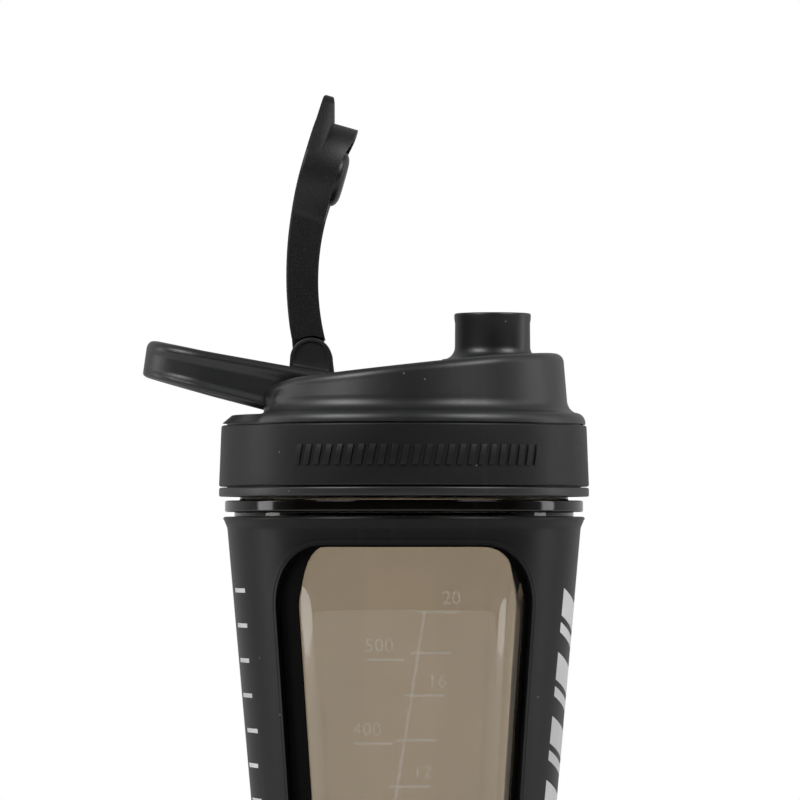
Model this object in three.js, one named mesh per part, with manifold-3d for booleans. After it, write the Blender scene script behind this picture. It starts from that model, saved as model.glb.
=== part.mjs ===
// Flip-top protein shaker bottle: tapered clear cup in a soft sleeve, screw lid with a spout and a
// carry loop, hinged flip cap with a soft stopper, grip ring, lid seal, hinge pin and mixing ball.
// Millimetres, +Z up. The origin is the centre of the flat foot. The spout lies towards +X, the
// carry loop towards -X, and the flip cap is modelled closed, then opened about its pin.
import * as THREE from 'three';
import { mergeVertices } from 'three/addons/utils/BufferGeometryUtils.js';
import Module from 'manifold-3d';

const wasm = await Module();
wasm.setup();

// Smoothness of the round pieces
const ROUND = 48; // facets round the main axis
const SMALL_ROUND = 24; // facets round the spout, the stopper and the knuckle
const PIN_ROUND = 12;
const CURVE_STEPS = 5; // chords in each bend of an outline
const EDGE = 0.4; // broken edges
const CUT = 5; // how far a cutting solid reaches beyond the piece

// Clearances
const GAP = 0.3; // between pieces that only touch
const RUN = 0.4; // round the screw thread and in the neck
const PIN_FIT = 0.25; // round the hinge pin

// Cup and sleeve
const SLEEVE_TOP = 184;
const SLEEVE_TOP_RADIUS = 46.1; // outside, without the flare of the lip
const TAPER = 0.0885; // growth of the radius for each millimetre of height
const SLEEVE_WALL = 1.8;
const SLEEVE_FLOOR = 1.8;
const FOOT_BEND = 3;
const SLEEVE_INNER_BEND = 2.5;
const CUP_OUTER_BEND = 2.5;
const CUP_INNER_BEND = 4;
const LIP_HEIGHT = 3.4; // flared top edge of the sleeve
const LIP_FLARE = 0.85;
const LIP_EDGE = 0.8;
const CUP_WALL = 1.4;
const CUP_FLOOR = 1.9;
const WINDOW_BOTTOM = 27;
const WINDOW_FRAME = 7.3; // sleeve left above the window
const WINDOW_HALF_ANGLE = THREE.MathUtils.degToRad(48);
const WINDOW_CORNER = 15;

// Neck of the cup, its ring and its two-start thread
const RING_GAP = 1.2; // clear neck between the sleeve and the ring
const RING_HEIGHT = 2.95;
const RING_WIDTH = 3.85; // beyond the neck
const NECK_SHOULDER = 1.4; // step in from the cup to the neck
const NECK_WALL = 2;
const NECK_LAND = 1.7; // plain neck above the thread
const THREAD_START = 3.85; // first ridge above the ring
const THREAD_DEPTH = 1.4;
const THREAD_ROOT_WIDTH = 2.6;
const THREAD_CREST_WIDTH = 1.2;
const THREAD_STARTS = 2;
const THREAD_LEAD = 12;
const THREAD_SWEEP = 300; // degrees for each start
const THREAD_RUN_IN = 37.5; // degrees by which the lid's ridges begin later
const THREAD_STEPS = 40;
const THREAD_SEAT = 2.4; // how far the lid's ridges lie under the neck's
const THREAD_BITE = 0.5; // how deep a ridge is rooted in its wall
const THREAD_TIP = 0.1; // share of its depth that a ridge keeps at its ends
const THREAD_FADE = 1 / 12; // share of its sweep in which a ridge comes to full depth

// Lid
const LID_GAP = 1.05; // between the ring of the cup and the lid
const LID_LIP_HEIGHT = 2.3;
const SKIRT_WALL = 1.5;
const COLLAR_WALL = 1.8;
const COLLAR_DRAFT = 0.6;
const FLANGE_STEP = 0.3; // set back of the dome's flange from the collar
const SEAL_HEIGHT = 1.4;
const PLUG_WALL = 1.4; // inner ring that goes into the neck
const PLUG_DEPTH = 6.5;
const WEB = 0.9; // seat of the seal to the underside of the flange
const BEAD_LEAN = 0.8; // outer face of the flange's bead, leaning in
const BEAD_SIDE = 1.8; // height of that face
const BEAD_WIDTH = 2.7;
const BEAD_HEIGHT = 3;
const FOOT_FILLET = 3.6; // hollow bend between the bead and the wall of the dome
const BACK_SHELF = 2.3; // flange behind the flat back of the dome
const DOME_BACK_SET_IN = 6.2; // flat back from the foot of the dome
const DOME_FOOT_WALL = 3.6;
const DOME_DRAFT = 0.9;
const DOME_WALL = 2;
const DOME_RISE = 14.6; // from the flange to the slope, on the main axis
const DOME_SLOPE = 0.11; // rise towards the spout
const DOME_SHOULDER = 3; // bend over the front
const DOME_BACK_BEND = 12.9; // length of the long bend down the back
const DOME_BACK_WALL = 5.5; // height of the flat back above the flange
const DOME_WALL_HEIGHT = 17; // of the drafted wall, before it is cut by the slope

// Spout
const SPOUT_SET_IN = 18.5; // its axis from the side of the dome
const SPOUT_RADIUS = 9.8;
const SPOUT_WALL = 1.3;
const SPOUT_HEIGHT = 11.75;
const SPOUT_FOOT = 1.4; // flare at its foot
const SPOUT_FOOT_HEIGHT = 1.6;

// Carry loop
const LOOP_REACH_OUT = 20.6; // beyond the flange
const LOOP_HALF_WIDTH = 22;
const LOOP_BAND = 4.5;
const LOOP_CORNER = 17;
const LOOP_TOP_RISE = 21.5; // end of the loop above the flange
const LOOP_TOP_SLOPE = 0.18;
const LOOP_END_HEIGHT = 9.2;
const LOOP_BOTTOM_SLOPE = 0.262;
const LOOP_TOP_BEND = 2.2;
const LOOP_BOTTOM_BEND = 3;
const LOOP_ROOT = 4; // how far its arms run past the hinge into the dome

// Hinge
const HINGE_SET_IN = 17.5; // its pin from the back of the dome
const EAR_RADIUS = 5.45;
const EAR_WALL = 3.2;
const EAR_SINK = 0.6; // foot of the ears below the slope
const EAR_TILT = 0.8;
const KNUCKLE_RADIUS = 4;
const KNUCKLE_WIDTH = 12;
const KNUCKLE_LIFT = 0.87; // above the slope
const PIN_RADIUS = 1.6;

// Flip cap, closed
const CAP_OPEN = THREE.MathUtils.degToRad(74); // how far it stands open
const CAP_WALL = 1.6;
const CAP_OVER_DOME = 6.36; // rim above the dome, at the spout
const CAP_ROOM = 2.3; // between the spout and the round skirt
const CAP_HEADROOM = 2.84; // between the spout and the web, for the stopper's flange
const ARM_OFFSET = 6; // from the pin to where the arm gets wide
const ARM_RISE = 7.45; // back of the arm above the pin, there
const ARM_SINK = 1.95; // rim of the arm below the pin, there
const ARM_WIDTH = 18;
const TAB_REACH = 6.3; // beyond the skirt
const TAB_SPREAD = THREE.MathUtils.degToRad(20);
const TAB_TIP_WIDTH = 14.4;
const TAB_THICKNESS = 4;
const TAB_THINNING = 1; // towards its tip
const TAB_ROOT = 0.6; // swell of its underside at the skirt
const TAB_CORNER = 4;
const TAB_OVERLAP = 4; // how far it is rooted in the skirt
const RIM_DROOP = 1.8; // rim at the front of the skirt
const RIM_CREST_SET_BACK = 9; // crest of the rim's arch behind the spout's axis
const ROOT_RISE = 3.6; // the arm's narrow root grows over this length
const ROOT_HEEL = 2.4; // its heel above and below the pin
const ROOT_CROWN = 0.9; // above the knuckle
const ROOT_SINK = 0.2; // back of the root below the back of the arm
const STOPPER_FIT = 0.5;
const STOPPER_TAPER = 1.3;
const STOPPER_DEPTH = 7.4; // how far it goes into the spout
const STOPPER_FLANGE_WIDTH = 1.4;
const STOPPER_TIP_EDGE = 0.6;
const STOPPER_TIP_HEIGHT = 3.6; // plain tip
const STOPPER_TIP_SWELL = 0.35;
const STOPPER_NECK_HEIGHT = 0.7;

// Mixing ball
const BALL_ROOM = 3.6; // between the ball and the wall of the cup at the floor
const WIRE_RADIUS = 1.1;
const BALL_TURNS = 7;
const BALL_POLE = 0.26; // radians left open at each pole
const BALL_STEPS = 112;
const WIRE_SIDES = 6;

// Sizes that follow: cup and neck
const BASE_RADIUS = SLEEVE_TOP_RADIUS - TAPER * SLEEVE_TOP;
const sleeveRadius = (z) => BASE_RADIUS + TAPER * z;
const cupRadius = (z) => sleeveRadius(z) - SLEEVE_WALL - GAP;
const cupBore = (z) => cupRadius(z) - CUP_WALL;
const WINDOW_TOP = SLEEVE_TOP - WINDOW_FRAME;
const CUP_BOTTOM = SLEEVE_FLOOR + GAP;
const CUP_INSIDE_BOTTOM = CUP_BOTTOM + CUP_FLOOR;
const NECK_RADIUS = cupRadius(SLEEVE_TOP) - NECK_SHOULDER;
const RING_RADIUS = NECK_RADIUS + RING_WIDTH;
const RING_BOTTOM = SLEEVE_TOP + RING_GAP;
const RING_TOP = RING_BOTTOM + RING_HEIGHT;
const THREAD_RISE = (THREAD_LEAD * THREAD_SWEEP) / 360;
const NECK_TOP = RING_TOP + THREAD_START + THREAD_RISE + THREAD_ROOT_WIDTH / 2 + NECK_LAND;
const THREAD_CREST = NECK_RADIUS + THREAD_DEPTH;
const BALL_RADIUS = cupBore(CUP_INSIDE_BOTTOM) - BALL_ROOM;

// Sizes that follow: lid
const SKIRT_BORE = THREAD_CREST + RUN;
const SKIRT_RADIUS = SKIRT_BORE + SKIRT_WALL;
const LID_RADIUS = SKIRT_RADIUS + GAP + COLLAR_WALL;
const COLLAR_TOP_RADIUS = LID_RADIUS - COLLAR_DRAFT;
const FLANGE_RADIUS = COLLAR_TOP_RADIUS - FLANGE_STEP;
const PLUG_RADIUS = NECK_RADIUS - NECK_WALL - RUN;
const DOME_BORE = PLUG_RADIUS - PLUG_WALL;
const DOME_FOOT_RADIUS = DOME_BORE + DOME_FOOT_WALL;
const DOME_TOP_RADIUS = DOME_FOOT_RADIUS - DOME_DRAFT;
const DOME_BACK = DOME_BACK_SET_IN - DOME_FOOT_RADIUS;
const LID_BOTTOM = RING_TOP + LID_GAP;
const COLLAR_BOTTOM = LID_BOTTOM + LID_LIP_HEIGHT + GAP;
const SEAL_BOTTOM = NECK_TOP + GAP;
const WEB_BOTTOM = SEAL_BOTTOM + SEAL_HEIGHT + GAP;
const FLANGE = WEB_BOTTOM + WEB;
const COLLAR_TOP = FLANGE - GAP;
const LOOP_REACH = FLANGE_RADIUS + LOOP_REACH_OUT;

// Sizes that follow: spout, hinge and cap
const SPOUT_X = DOME_TOP_RADIUS - SPOUT_SET_IN;
const SPOUT_BORE = SPOUT_RADIUS - SPOUT_WALL;
const domeTop = (x) => FLANGE + DOME_RISE + DOME_SLOPE * x;
const SPOUT_TOP = domeTop(SPOUT_X) + SPOUT_HEIGHT;
const HINGE_X = HINGE_SET_IN - DOME_TOP_RADIUS;
const HINGE_Z = domeTop(HINGE_X) + KNUCKLE_RADIUS + KNUCKLE_LIFT;
const EAR_INSIDE = KNUCKLE_WIDTH / 2 + RUN;
const EAR_OUTSIDE = EAR_INSIDE + EAR_WALL;
const PIN_BLIND = -EAR_OUTSIDE + EAR_WALL / 2;
const CAP_TOP = SPOUT_TOP + CAP_HEADROOM + CAP_WALL;
const CAP_RIM = domeTop(SPOUT_X) + CAP_OVER_DOME;
const CAP_SKIRT_RADIUS = SPOUT_RADIUS + CAP_ROOM + CAP_WALL;
const ARM_START = HINGE_X + ARM_OFFSET;

// ---- Solids from three.js geometry ----

function toSolid(geometry) {
  const bare = geometry.index ? geometry.toNonIndexed() : geometry;
  bare.deleteAttribute('normal');
  bare.deleteAttribute('uv');
  const merged = mergeVertices(bare);
  const corners = merged.index.array;
  const kept = [];
  for (let i = 0; i < corners.length; i += 3) {
    const [a, b, c] = corners.slice(i, i + 3);
    if (a !== b && b !== c && c !== a) kept.push(a, b, c);
  }
  const vertProperties = Float32Array.from(merged.attributes.position.array);
  return new wasm.Manifold(new wasm.Mesh({ numProp: 3, vertProperties, triVerts: Uint32Array.from(kept) }));
}

function lathe(profile, facets = ROUND) {
  const outline = profile.map(([radius, z]) => new THREE.Vector2(radius, z));
  const geometry = new THREE.LatheGeometry(outline, facets);
  geometry.rotateX(Math.PI / 2);
  return toSolid(geometry);
}

// A body of revolution that is solid to its axis
function turned(profile, facets) {
  const bottom = profile[0][1];
  const top = profile[profile.length - 1][1];
  return lathe([[0, bottom], ...profile, [0, top]], facets);
}

// A ring: its profile closes on itself
function ring(profile, facets) {
  return lathe([...profile, profile[0]], facets);
}

function extrude(shape, depth) {
  return new THREE.ExtrudeGeometry(shape, { depth, bevelEnabled: false, curveSegments: CURVE_STEPS });
}

// A plan outline raised from one height to another
function raised(shape, low, high) {
  return toSolid(extrude(shape, high - low).translate(0, 0, low));
}

// A side outline, in X and Z, widened along Y
function widened(shape, low, high) {
  return toSolid(extrude(shape, high - low).rotateX(Math.PI / 2).translate(0, high, 0));
}

// A closed outline whose corners are [x, y, bend radius]
function rounded(corners) {
  const shape = new THREE.Shape();
  const at = (i) => new THREE.Vector2(...corners[(i + corners.length) % corners.length]);
  corners.forEach(([x, y, bend], i) => {
    const here = new THREE.Vector2(x, y);
    const back = at(i - 1).sub(here).normalize();
    const ahead = at(i + 1).sub(here).normalize();
    const half = back.angleTo(ahead) / 2;
    const reach = bend / Math.tan(half);
    const from = here.clone().addScaledVector(back, reach);
    const to = here.clone().addScaledVector(ahead, reach);
    if (i === 0) shape.moveTo(from.x, from.y);
    else shape.lineTo(from.x, from.y);
    if (bend > 0) shape.quadraticCurveTo(x, y, to.x, to.y);
  });
  return shape;
}

// Points [radius, z] on a quarter bend from one direction to another, in degrees
function bend(centreRadius, centreZ, radius, from, to) {
  return Array.from({ length: CURVE_STEPS }, (_, i) => {
    const angle = THREE.MathUtils.degToRad(from + ((to - from) * i) / (CURVE_STEPS - 1));
    return [centreRadius + radius * Math.cos(angle), centreZ + radius * Math.sin(angle)];
  });
}

// Ridges of a right-hand thread: a section standing on the radius root, wound up round the axis
function thread(root, crest, bottom, firstAngle) {
  const section = new THREE.Shape([
    new THREE.Vector2(root, -THREAD_ROOT_WIDTH / 2),
    new THREE.Vector2(crest, -THREAD_CREST_WIDTH / 2),
    new THREE.Vector2(crest, THREAD_CREST_WIDTH / 2),
    new THREE.Vector2(root, THREAD_ROOT_WIDTH / 2),
  ]);
  const sweep = THREE.MathUtils.degToRad(THREAD_SWEEP);
  const ridges = [];
  for (let start = 0; start < THREAD_STARTS; start += 1) {
    const bar = new THREE.ExtrudeGeometry(section, { depth: sweep, steps: THREAD_STEPS, bevelEnabled: false });
    const place = bar.attributes.position;
    const turn = firstAngle + (2 * Math.PI * start) / THREAD_STARTS;
    for (let i = 0; i < place.count; i += 1) {
      const along = sweep - place.getZ(i);
      const end = Math.min(along, sweep - along);
      const height = Math.min(1, THREAD_TIP + end / (sweep * THREAD_FADE));
      const radius = root + (place.getX(i) - root) * height;
      const z = bottom + place.getY(i) + (THREAD_LEAD * along) / (2 * Math.PI);
      place.setXYZ(i, radius * Math.cos(turn + along), radius * Math.sin(turn + along), z);
    }
    ridges.push(toSolid(bar));
  }
  return wasm.Manifold.union(ridges);
}

// ---- Cup and sleeve ----

function makeCup() {
  const floor = CUP_INSIDE_BOTTOM;
  const outer = CUP_OUTER_BEND;
  const inner = CUP_INNER_BEND;
  const body = turned([
    ...bend(cupRadius(CUP_BOTTOM) - outer, CUP_BOTTOM + outer, outer, -90, 0),
    [cupRadius(SLEEVE_TOP), SLEEVE_TOP],
    [cupRadius(SLEEVE_TOP), RING_BOTTOM],
    [RING_RADIUS - EDGE, RING_BOTTOM],
    [RING_RADIUS, RING_BOTTOM + EDGE],
    [RING_RADIUS, RING_TOP - EDGE],
    [RING_RADIUS - EDGE, RING_TOP],
    [NECK_RADIUS, RING_TOP],
    [NECK_RADIUS, NECK_TOP],
  ]);
  const bore = NECK_RADIUS - NECK_WALL;
  const inside = turned([
    ...bend(cupBore(floor) - inner, floor + inner, inner, -90, 0),
    [cupBore(SLEEVE_TOP), SLEEVE_TOP],
    [bore, RING_TOP],
    [bore, NECK_TOP + CUT],
  ]);
  const ridges = thread(NECK_RADIUS - THREAD_BITE, THREAD_CREST, RING_TOP + THREAD_START, 0);
  return body.add(ridges).subtract(inside);
}

function makeSleeve() {
  const neck = SLEEVE_TOP - LIP_HEIGHT;
  const lip = sleeveRadius(SLEEVE_TOP) + LIP_FLARE;
  const shell = turned([
    ...bend(sleeveRadius(0) - FOOT_BEND, FOOT_BEND, FOOT_BEND, -90, 0),
    [sleeveRadius(neck), neck],
    [lip, SLEEVE_TOP - LIP_EDGE],
    [lip - EDGE, SLEEVE_TOP],
    [cupRadius(SLEEVE_TOP) + GAP, SLEEVE_TOP],
  ]);
  const inner = SLEEVE_INNER_BEND;
  const innerRadius = (z) => sleeveRadius(z) - SLEEVE_WALL;
  const inside = turned([
    ...bend(innerRadius(SLEEVE_FLOOR) - inner, SLEEVE_FLOOR + inner, inner, -90, 0),
    [innerRadius(SLEEVE_TOP + CUT), SLEEVE_TOP + CUT],
  ]);
  const halfWidth = (z) => sleeveRadius(z) * Math.sin(WINDOW_HALF_ANGLE);
  const windows = widened(
    rounded([
      [-halfWidth(WINDOW_BOTTOM), WINDOW_BOTTOM, WINDOW_CORNER],
      [halfWidth(WINDOW_BOTTOM), WINDOW_BOTTOM, WINDOW_CORNER],
      [halfWidth(WINDOW_TOP), WINDOW_TOP, WINDOW_CORNER],
      [-halfWidth(WINDOW_TOP), WINDOW_TOP, WINDOW_CORNER],
    ]),
    -2 * RING_RADIUS,
    2 * RING_RADIUS,
  );
  return shell.subtract(inside).subtract(windows);
}

// ---- Lid ----

// The dome seen from the front, drawn in by a wall: long slope, bent and flat back, round shoulder
function domeOutline(wall) {
  const top = (x) => domeTop(x) - wall;
  const back = DOME_BACK + wall;
  const shelf = FLANGE + BACK_SHELF;
  const bendEnd = FLANGE + DOME_BACK_WALL;
  const shoulder = DOME_TOP_RADIUS - DOME_SHOULDER;
  const front = LID_RADIUS + CUT;
  const shape = new THREE.Shape();
  shape.moveTo(front, LID_BOTTOM - CUT);
  shape.lineTo(front, FLANGE + BEAD_HEIGHT + 1);
  shape.lineTo(DOME_FOOT_RADIUS + 1, FLANGE + BEAD_HEIGHT + 1);
  shape.lineTo(DOME_TOP_RADIUS, top(DOME_TOP_RADIUS) - DOME_SHOULDER);
  shape.quadraticCurveTo(DOME_TOP_RADIUS, top(DOME_TOP_RADIUS), shoulder, top(shoulder));
  shape.lineTo(DOME_BACK + DOME_BACK_BEND, top(DOME_BACK + DOME_BACK_BEND));
  shape.quadraticCurveTo(back, top(back), back, bendEnd - wall);
  if (wall > 0) {
    shape.lineTo(back, LID_BOTTOM - CUT);
  } else {
    shape.lineTo(back, shelf);
    shape.lineTo(-front, shelf);
    shape.lineTo(-front, LID_BOTTOM - CUT);
  }
  return shape;
}

function makeLoop() {
  const top = (x) => FLANGE + LOOP_TOP_RISE - LOOP_TOP_SLOPE * (x + LOOP_REACH);
  const bottom = (x) => top(-LOOP_REACH) - LOOP_END_HEIGHT - LOOP_BOTTOM_SLOPE * (x + LOOP_REACH);
  const root = HINGE_X + LOOP_ROOT;
  const hull = rounded([
    [-LOOP_REACH, bottom(-LOOP_REACH), LOOP_BOTTOM_BEND],
    [root, bottom(DOME_BACK), 0],
    [root, top(root), 0],
    [-LOOP_REACH, top(-LOOP_REACH), LOOP_TOP_BEND],
  ]);
  const side = widened(hull, -LOOP_HALF_WIDTH - 1, LOOP_HALF_WIDTH + 1);
  const band = (inset) => rounded([
    [-LOOP_REACH + inset, -LOOP_HALF_WIDTH + inset, LOOP_CORNER - inset],
    [root + inset, -LOOP_HALF_WIDTH + inset, 0],
    [root + inset, LOOP_HALF_WIDTH - inset, 0],
    [-LOOP_REACH + inset, LOOP_HALF_WIDTH - inset, LOOP_CORNER - inset],
  ]);
  const low = FLANGE - CUT;
  const high = CAP_TOP;
  return raised(band(0), low, high).subtract(raised(band(LOOP_BAND), low - 1, high + 1)).intersect(side);
}

function makeEars() {
  const foot = domeTop(HINGE_X) - EAR_SINK;
  const side = new THREE.Shape();
  side.moveTo(HINGE_X - EAR_RADIUS, foot - EAR_TILT);
  side.lineTo(HINGE_X + EAR_RADIUS, foot);
  side.absarc(HINGE_X, HINGE_Z, EAR_RADIUS, 0, Math.PI, false);
  return widened(side, -EAR_OUTSIDE, -EAR_INSIDE).add(widened(side, EAR_INSIDE, EAR_OUTSIDE));
}

// A round bar along Y through the hinge
function hingeBar(radius, from, to, facets = PIN_ROUND) {
  const bar = new THREE.CylinderGeometry(radius, radius, to - from, facets);
  return toSolid(bar.translate(HINGE_X, (from + to) / 2, 0)).translate([0, 0, HINGE_Z]);
}

function makeLid() {
  const outside = turned([
    [LID_RADIUS - EDGE, LID_BOTTOM],
    [LID_RADIUS, LID_BOTTOM + EDGE],
    [LID_RADIUS, LID_BOTTOM + LID_LIP_HEIGHT],
    [SKIRT_RADIUS, LID_BOTTOM + LID_LIP_HEIGHT],
    [SKIRT_RADIUS, FLANGE],
    [FLANGE_RADIUS, FLANGE],
    [FLANGE_RADIUS - BEAD_LEAN, FLANGE + BEAD_SIDE],
    [FLANGE_RADIUS - BEAD_WIDTH, FLANGE + BEAD_HEIGHT],
    [DOME_FOOT_RADIUS + EDGE, FLANGE + (BEAD_HEIGHT + BEAD_HEIGHT + FOOT_FILLET) / 2],
    [DOME_FOOT_RADIUS, FLANGE + BEAD_HEIGHT + FOOT_FILLET],
    [DOME_TOP_RADIUS, FLANGE + DOME_WALL_HEIGHT],
    [DOME_TOP_RADIUS, FLANGE + DOME_WALL_HEIGHT + CUT],
  ]);
  const dome = outside.intersect(widened(domeOutline(0), -LID_RADIUS - 1, LID_RADIUS + 1));
  const spout = turned([
    [SPOUT_RADIUS + SPOUT_FOOT, domeTop(SPOUT_X - SPOUT_RADIUS) - 1],
    [SPOUT_RADIUS, domeTop(SPOUT_X) + SPOUT_FOOT_HEIGHT],
    [SPOUT_RADIUS, SPOUT_TOP - EDGE],
    [SPOUT_RADIUS - EDGE, SPOUT_TOP],
  ], SMALL_ROUND).translate([SPOUT_X, 0, 0]);
  const bore = turned([
    [SPOUT_BORE, WEB_BOTTOM],
    [SPOUT_BORE, SPOUT_TOP + CUT],
  ], SMALL_ROUND).translate([SPOUT_X, 0, 0]);
  const socket = turned([
    [SKIRT_BORE, LID_BOTTOM - CUT],
    [SKIRT_BORE, WEB_BOTTOM],
  ]);
  const hollow = turned([
    [DOME_BORE, WEB_BOTTOM - 1],
    [DOME_BORE, CAP_RIM],
  ]).intersect(widened(domeOutline(DOME_WALL), -LID_RADIUS - 1, LID_RADIUS + 1));
  const plug = ring([
    [PLUG_RADIUS, WEB_BOTTOM - PLUG_DEPTH],
    [PLUG_RADIUS, WEB_BOTTOM + EDGE],
    [DOME_BORE, WEB_BOTTOM + EDGE],
    [DOME_BORE, WEB_BOTTOM - PLUG_DEPTH],
  ]);
  const runIn = THREE.MathUtils.degToRad(THREAD_RUN_IN);
  const firstRidge = RING_TOP + THREAD_START - THREAD_SEAT + (THREAD_LEAD * THREAD_RUN_IN) / 360;
  const ridges = thread(SKIRT_BORE + THREAD_BITE, NECK_RADIUS + RUN, firstRidge, runIn);
  return dome
    .add(makeLoop())
    .add(makeEars())
    .add(spout)
    .subtract(hollow)
    .subtract(socket)
    .subtract(bore)
    .add(plug)
    .add(ridges)
    .subtract(hingeBar(PIN_RADIUS + PIN_FIT, PIN_BLIND - GAP, EAR_OUTSIDE + 1));
}

function makeCollar() {
  return ring([
    [SKIRT_RADIUS + GAP, COLLAR_BOTTOM],
    [LID_RADIUS - EDGE, COLLAR_BOTTOM],
    [LID_RADIUS, COLLAR_BOTTOM + EDGE],
    [COLLAR_TOP_RADIUS, COLLAR_TOP - EDGE],
    [COLLAR_TOP_RADIUS - EDGE, COLLAR_TOP],
    [SKIRT_RADIUS + GAP, COLLAR_TOP],
  ]);
}

function makeSeal() {
  return ring([
    [PLUG_RADIUS + GAP, SEAL_BOTTOM],
    [SKIRT_BORE - RUN, SEAL_BOTTOM],
    [SKIRT_BORE - RUN, SEAL_BOTTOM + SEAL_HEIGHT],
    [PLUG_RADIUS + GAP, SEAL_BOTTOM + SEAL_HEIGHT],
  ]);
}

// ---- Flip cap and stopper, closed, then opened about the pin ----

function opened(solid) {
  return solid
    .translate([-HINGE_X, 0, -HINGE_Z])
    .rotate([0, -THREE.MathUtils.radToDeg(CAP_OPEN), 0])
    .translate([HINGE_X, 0, HINGE_Z]);
}

// An arc that crests over a place and comes down to a height where the arm starts
function arch(crest, startHeight, crestX = SPOUT_X) {
  const span = crestX - ARM_START;
  const drop = crest - startHeight;
  return { crest, crestX, radius: (span ** 2 + drop ** 2) / (2 * drop) };
}

const BACK_ARCH = arch(CAP_TOP, HINGE_Z + ARM_RISE);
const WEB_ARCH = { crest: CAP_TOP - CAP_WALL, crestX: SPOUT_X, radius: BACK_ARCH.radius - CAP_WALL };
const RIM_ARCH = arch(CAP_RIM, HINGE_Z - ARM_SINK, SPOUT_X - RIM_CREST_SET_BACK);

// Height of an arch at a place, level beyond its crest
const archHeight = ({ crest, crestX, radius }, x) =>
  crest - radius + Math.sqrt(radius ** 2 - Math.min(x - crestX, 0) ** 2);

// Side outline under an arch, flat beyond its crest, down to a flat height
function archedOutline({ crest, crestX, radius }, from, to, low) {
  const centre = crest - radius;
  const start = Math.acos((crestX - from) / radius);
  const shape = new THREE.Shape();
  shape.moveTo(to, low);
  shape.lineTo(to, crest);
  shape.lineTo(crestX, crest);
  shape.absarc(crestX, centre, radius, Math.PI / 2, Math.PI - start, false);
  shape.lineTo(from, low);
  return shape;
}

// Plan of the arm and the round skirt, drawn in by an inset
function capPlan(inset) {
  const half = ARM_WIDTH / 2 - inset;
  const radius = CAP_SKIRT_RADIUS - inset;
  const meet = Math.asin(half / radius);
  const shape = new THREE.Shape();
  shape.moveTo(ARM_START + inset, -half);
  shape.lineTo(SPOUT_X - radius * Math.cos(meet), -half);
  const steps = 4 * CURVE_STEPS;
  for (let i = 1; i <= steps; i += 1) {
    const angle = -Math.PI + meet + ((2 * Math.PI - 2 * meet) * i) / steps;
    shape.lineTo(SPOUT_X + radius * Math.cos(angle), radius * Math.sin(angle));
  }
  shape.lineTo(ARM_START + inset, half);
  return shape;
}

function makeCapClosed() {
  const reach = CAP_SKIRT_RADIUS + 1;
  const low = FLANGE;
  const side = widened(archedOutline(BACK_ARCH, ARM_START, SPOUT_X + reach, low), -reach, reach);
  const under = widened(archedOutline(RIM_ARCH, ARM_START - CUT, SPOUT_X + 1, low - 1), -reach, reach);
  const front = new THREE.Shape();
  front.moveTo(SPOUT_X, low - 1);
  front.lineTo(SPOUT_X + reach + 1, low - 1);
  front.lineTo(SPOUT_X + reach + 1, archHeight(RIM_ARCH, SPOUT_X + reach) - RIM_DROOP);
  front.lineTo(SPOUT_X, CAP_RIM);
  const body = raised(capPlan(0), low, CAP_TOP + 1)
    .intersect(side)
    .subtract(under)
    .subtract(widened(front, -reach, reach));
  const tabTip = SPOUT_X + CAP_SKIRT_RADIUS + TAB_REACH;
  const tabStart = [SPOUT_X + CAP_SKIRT_RADIUS * Math.sin(TAB_SPREAD), CAP_SKIRT_RADIUS * Math.cos(TAB_SPREAD)];
  const tabPlan = rounded([
    [tabStart[0] - TAB_OVERLAP, -tabStart[1] + TAB_OVERLAP, 0],
    [tabStart[0], -tabStart[1], 0],
    [tabTip, -TAB_TIP_WIDTH / 2, TAB_CORNER],
    [tabTip, TAB_TIP_WIDTH / 2, TAB_CORNER],
    [tabStart[0], tabStart[1], 0],
    [tabStart[0] - TAB_OVERLAP, tabStart[1] - TAB_OVERLAP, 0],
  ]);
  const tabSide = rounded([
    [SPOUT_X, CAP_TOP - TAB_THICKNESS + TAB_ROOT, 0],
    [SPOUT_X + CAP_SKIRT_RADIUS, CAP_TOP - TAB_THICKNESS - TAB_ROOT, 0],
    [tabTip, CAP_TOP - TAB_THICKNESS + TAB_THINNING, 1],
    [tabTip, CAP_TOP - EDGE, 1],
    [SPOUT_X, CAP_TOP, 0],
  ]);
  const tab = raised(tabPlan, CAP_RIM, CAP_TOP + 1).intersect(widened(tabSide, -reach, reach));
  const underWeb = widened(archedOutline(WEB_ARCH, ARM_START, SPOUT_X + reach, low - 1), -reach, reach);
  const hollow = raised(capPlan(CAP_WALL), low - 1, CAP_TOP).intersect(underWeb);
  const rootEnd = ARM_START + CAP_WALL / 2;
  const root = new THREE.Shape();
  root.moveTo(HINGE_X + ROOT_RISE - ROOT_CROWN, HINGE_Z - ROOT_HEEL);
  root.lineTo(rootEnd, archHeight(RIM_ARCH, rootEnd));
  root.lineTo(rootEnd, archHeight(BACK_ARCH, rootEnd));
  root.lineTo(HINGE_X + ROOT_RISE, archHeight(BACK_ARCH, HINGE_X + ROOT_RISE) - ROOT_SINK);
  root.lineTo(HINGE_X, HINGE_Z + KNUCKLE_RADIUS + ROOT_CROWN);
  root.lineTo(HINGE_X - ROOT_RISE + ROOT_CROWN, HINGE_Z + ROOT_HEEL);
  const half = KNUCKLE_WIDTH / 2;
  const neck = widened(root, -half, half);
  const knuckle = hingeBar(KNUCKLE_RADIUS, -half, half, SMALL_ROUND);
  return body
    .add(tab)
    .subtract(hollow)
    .add(neck)
    .add(knuckle)
    .subtract(hingeBar(PIN_RADIUS + PIN_FIT, -half - 1, half + 1));
}

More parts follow.
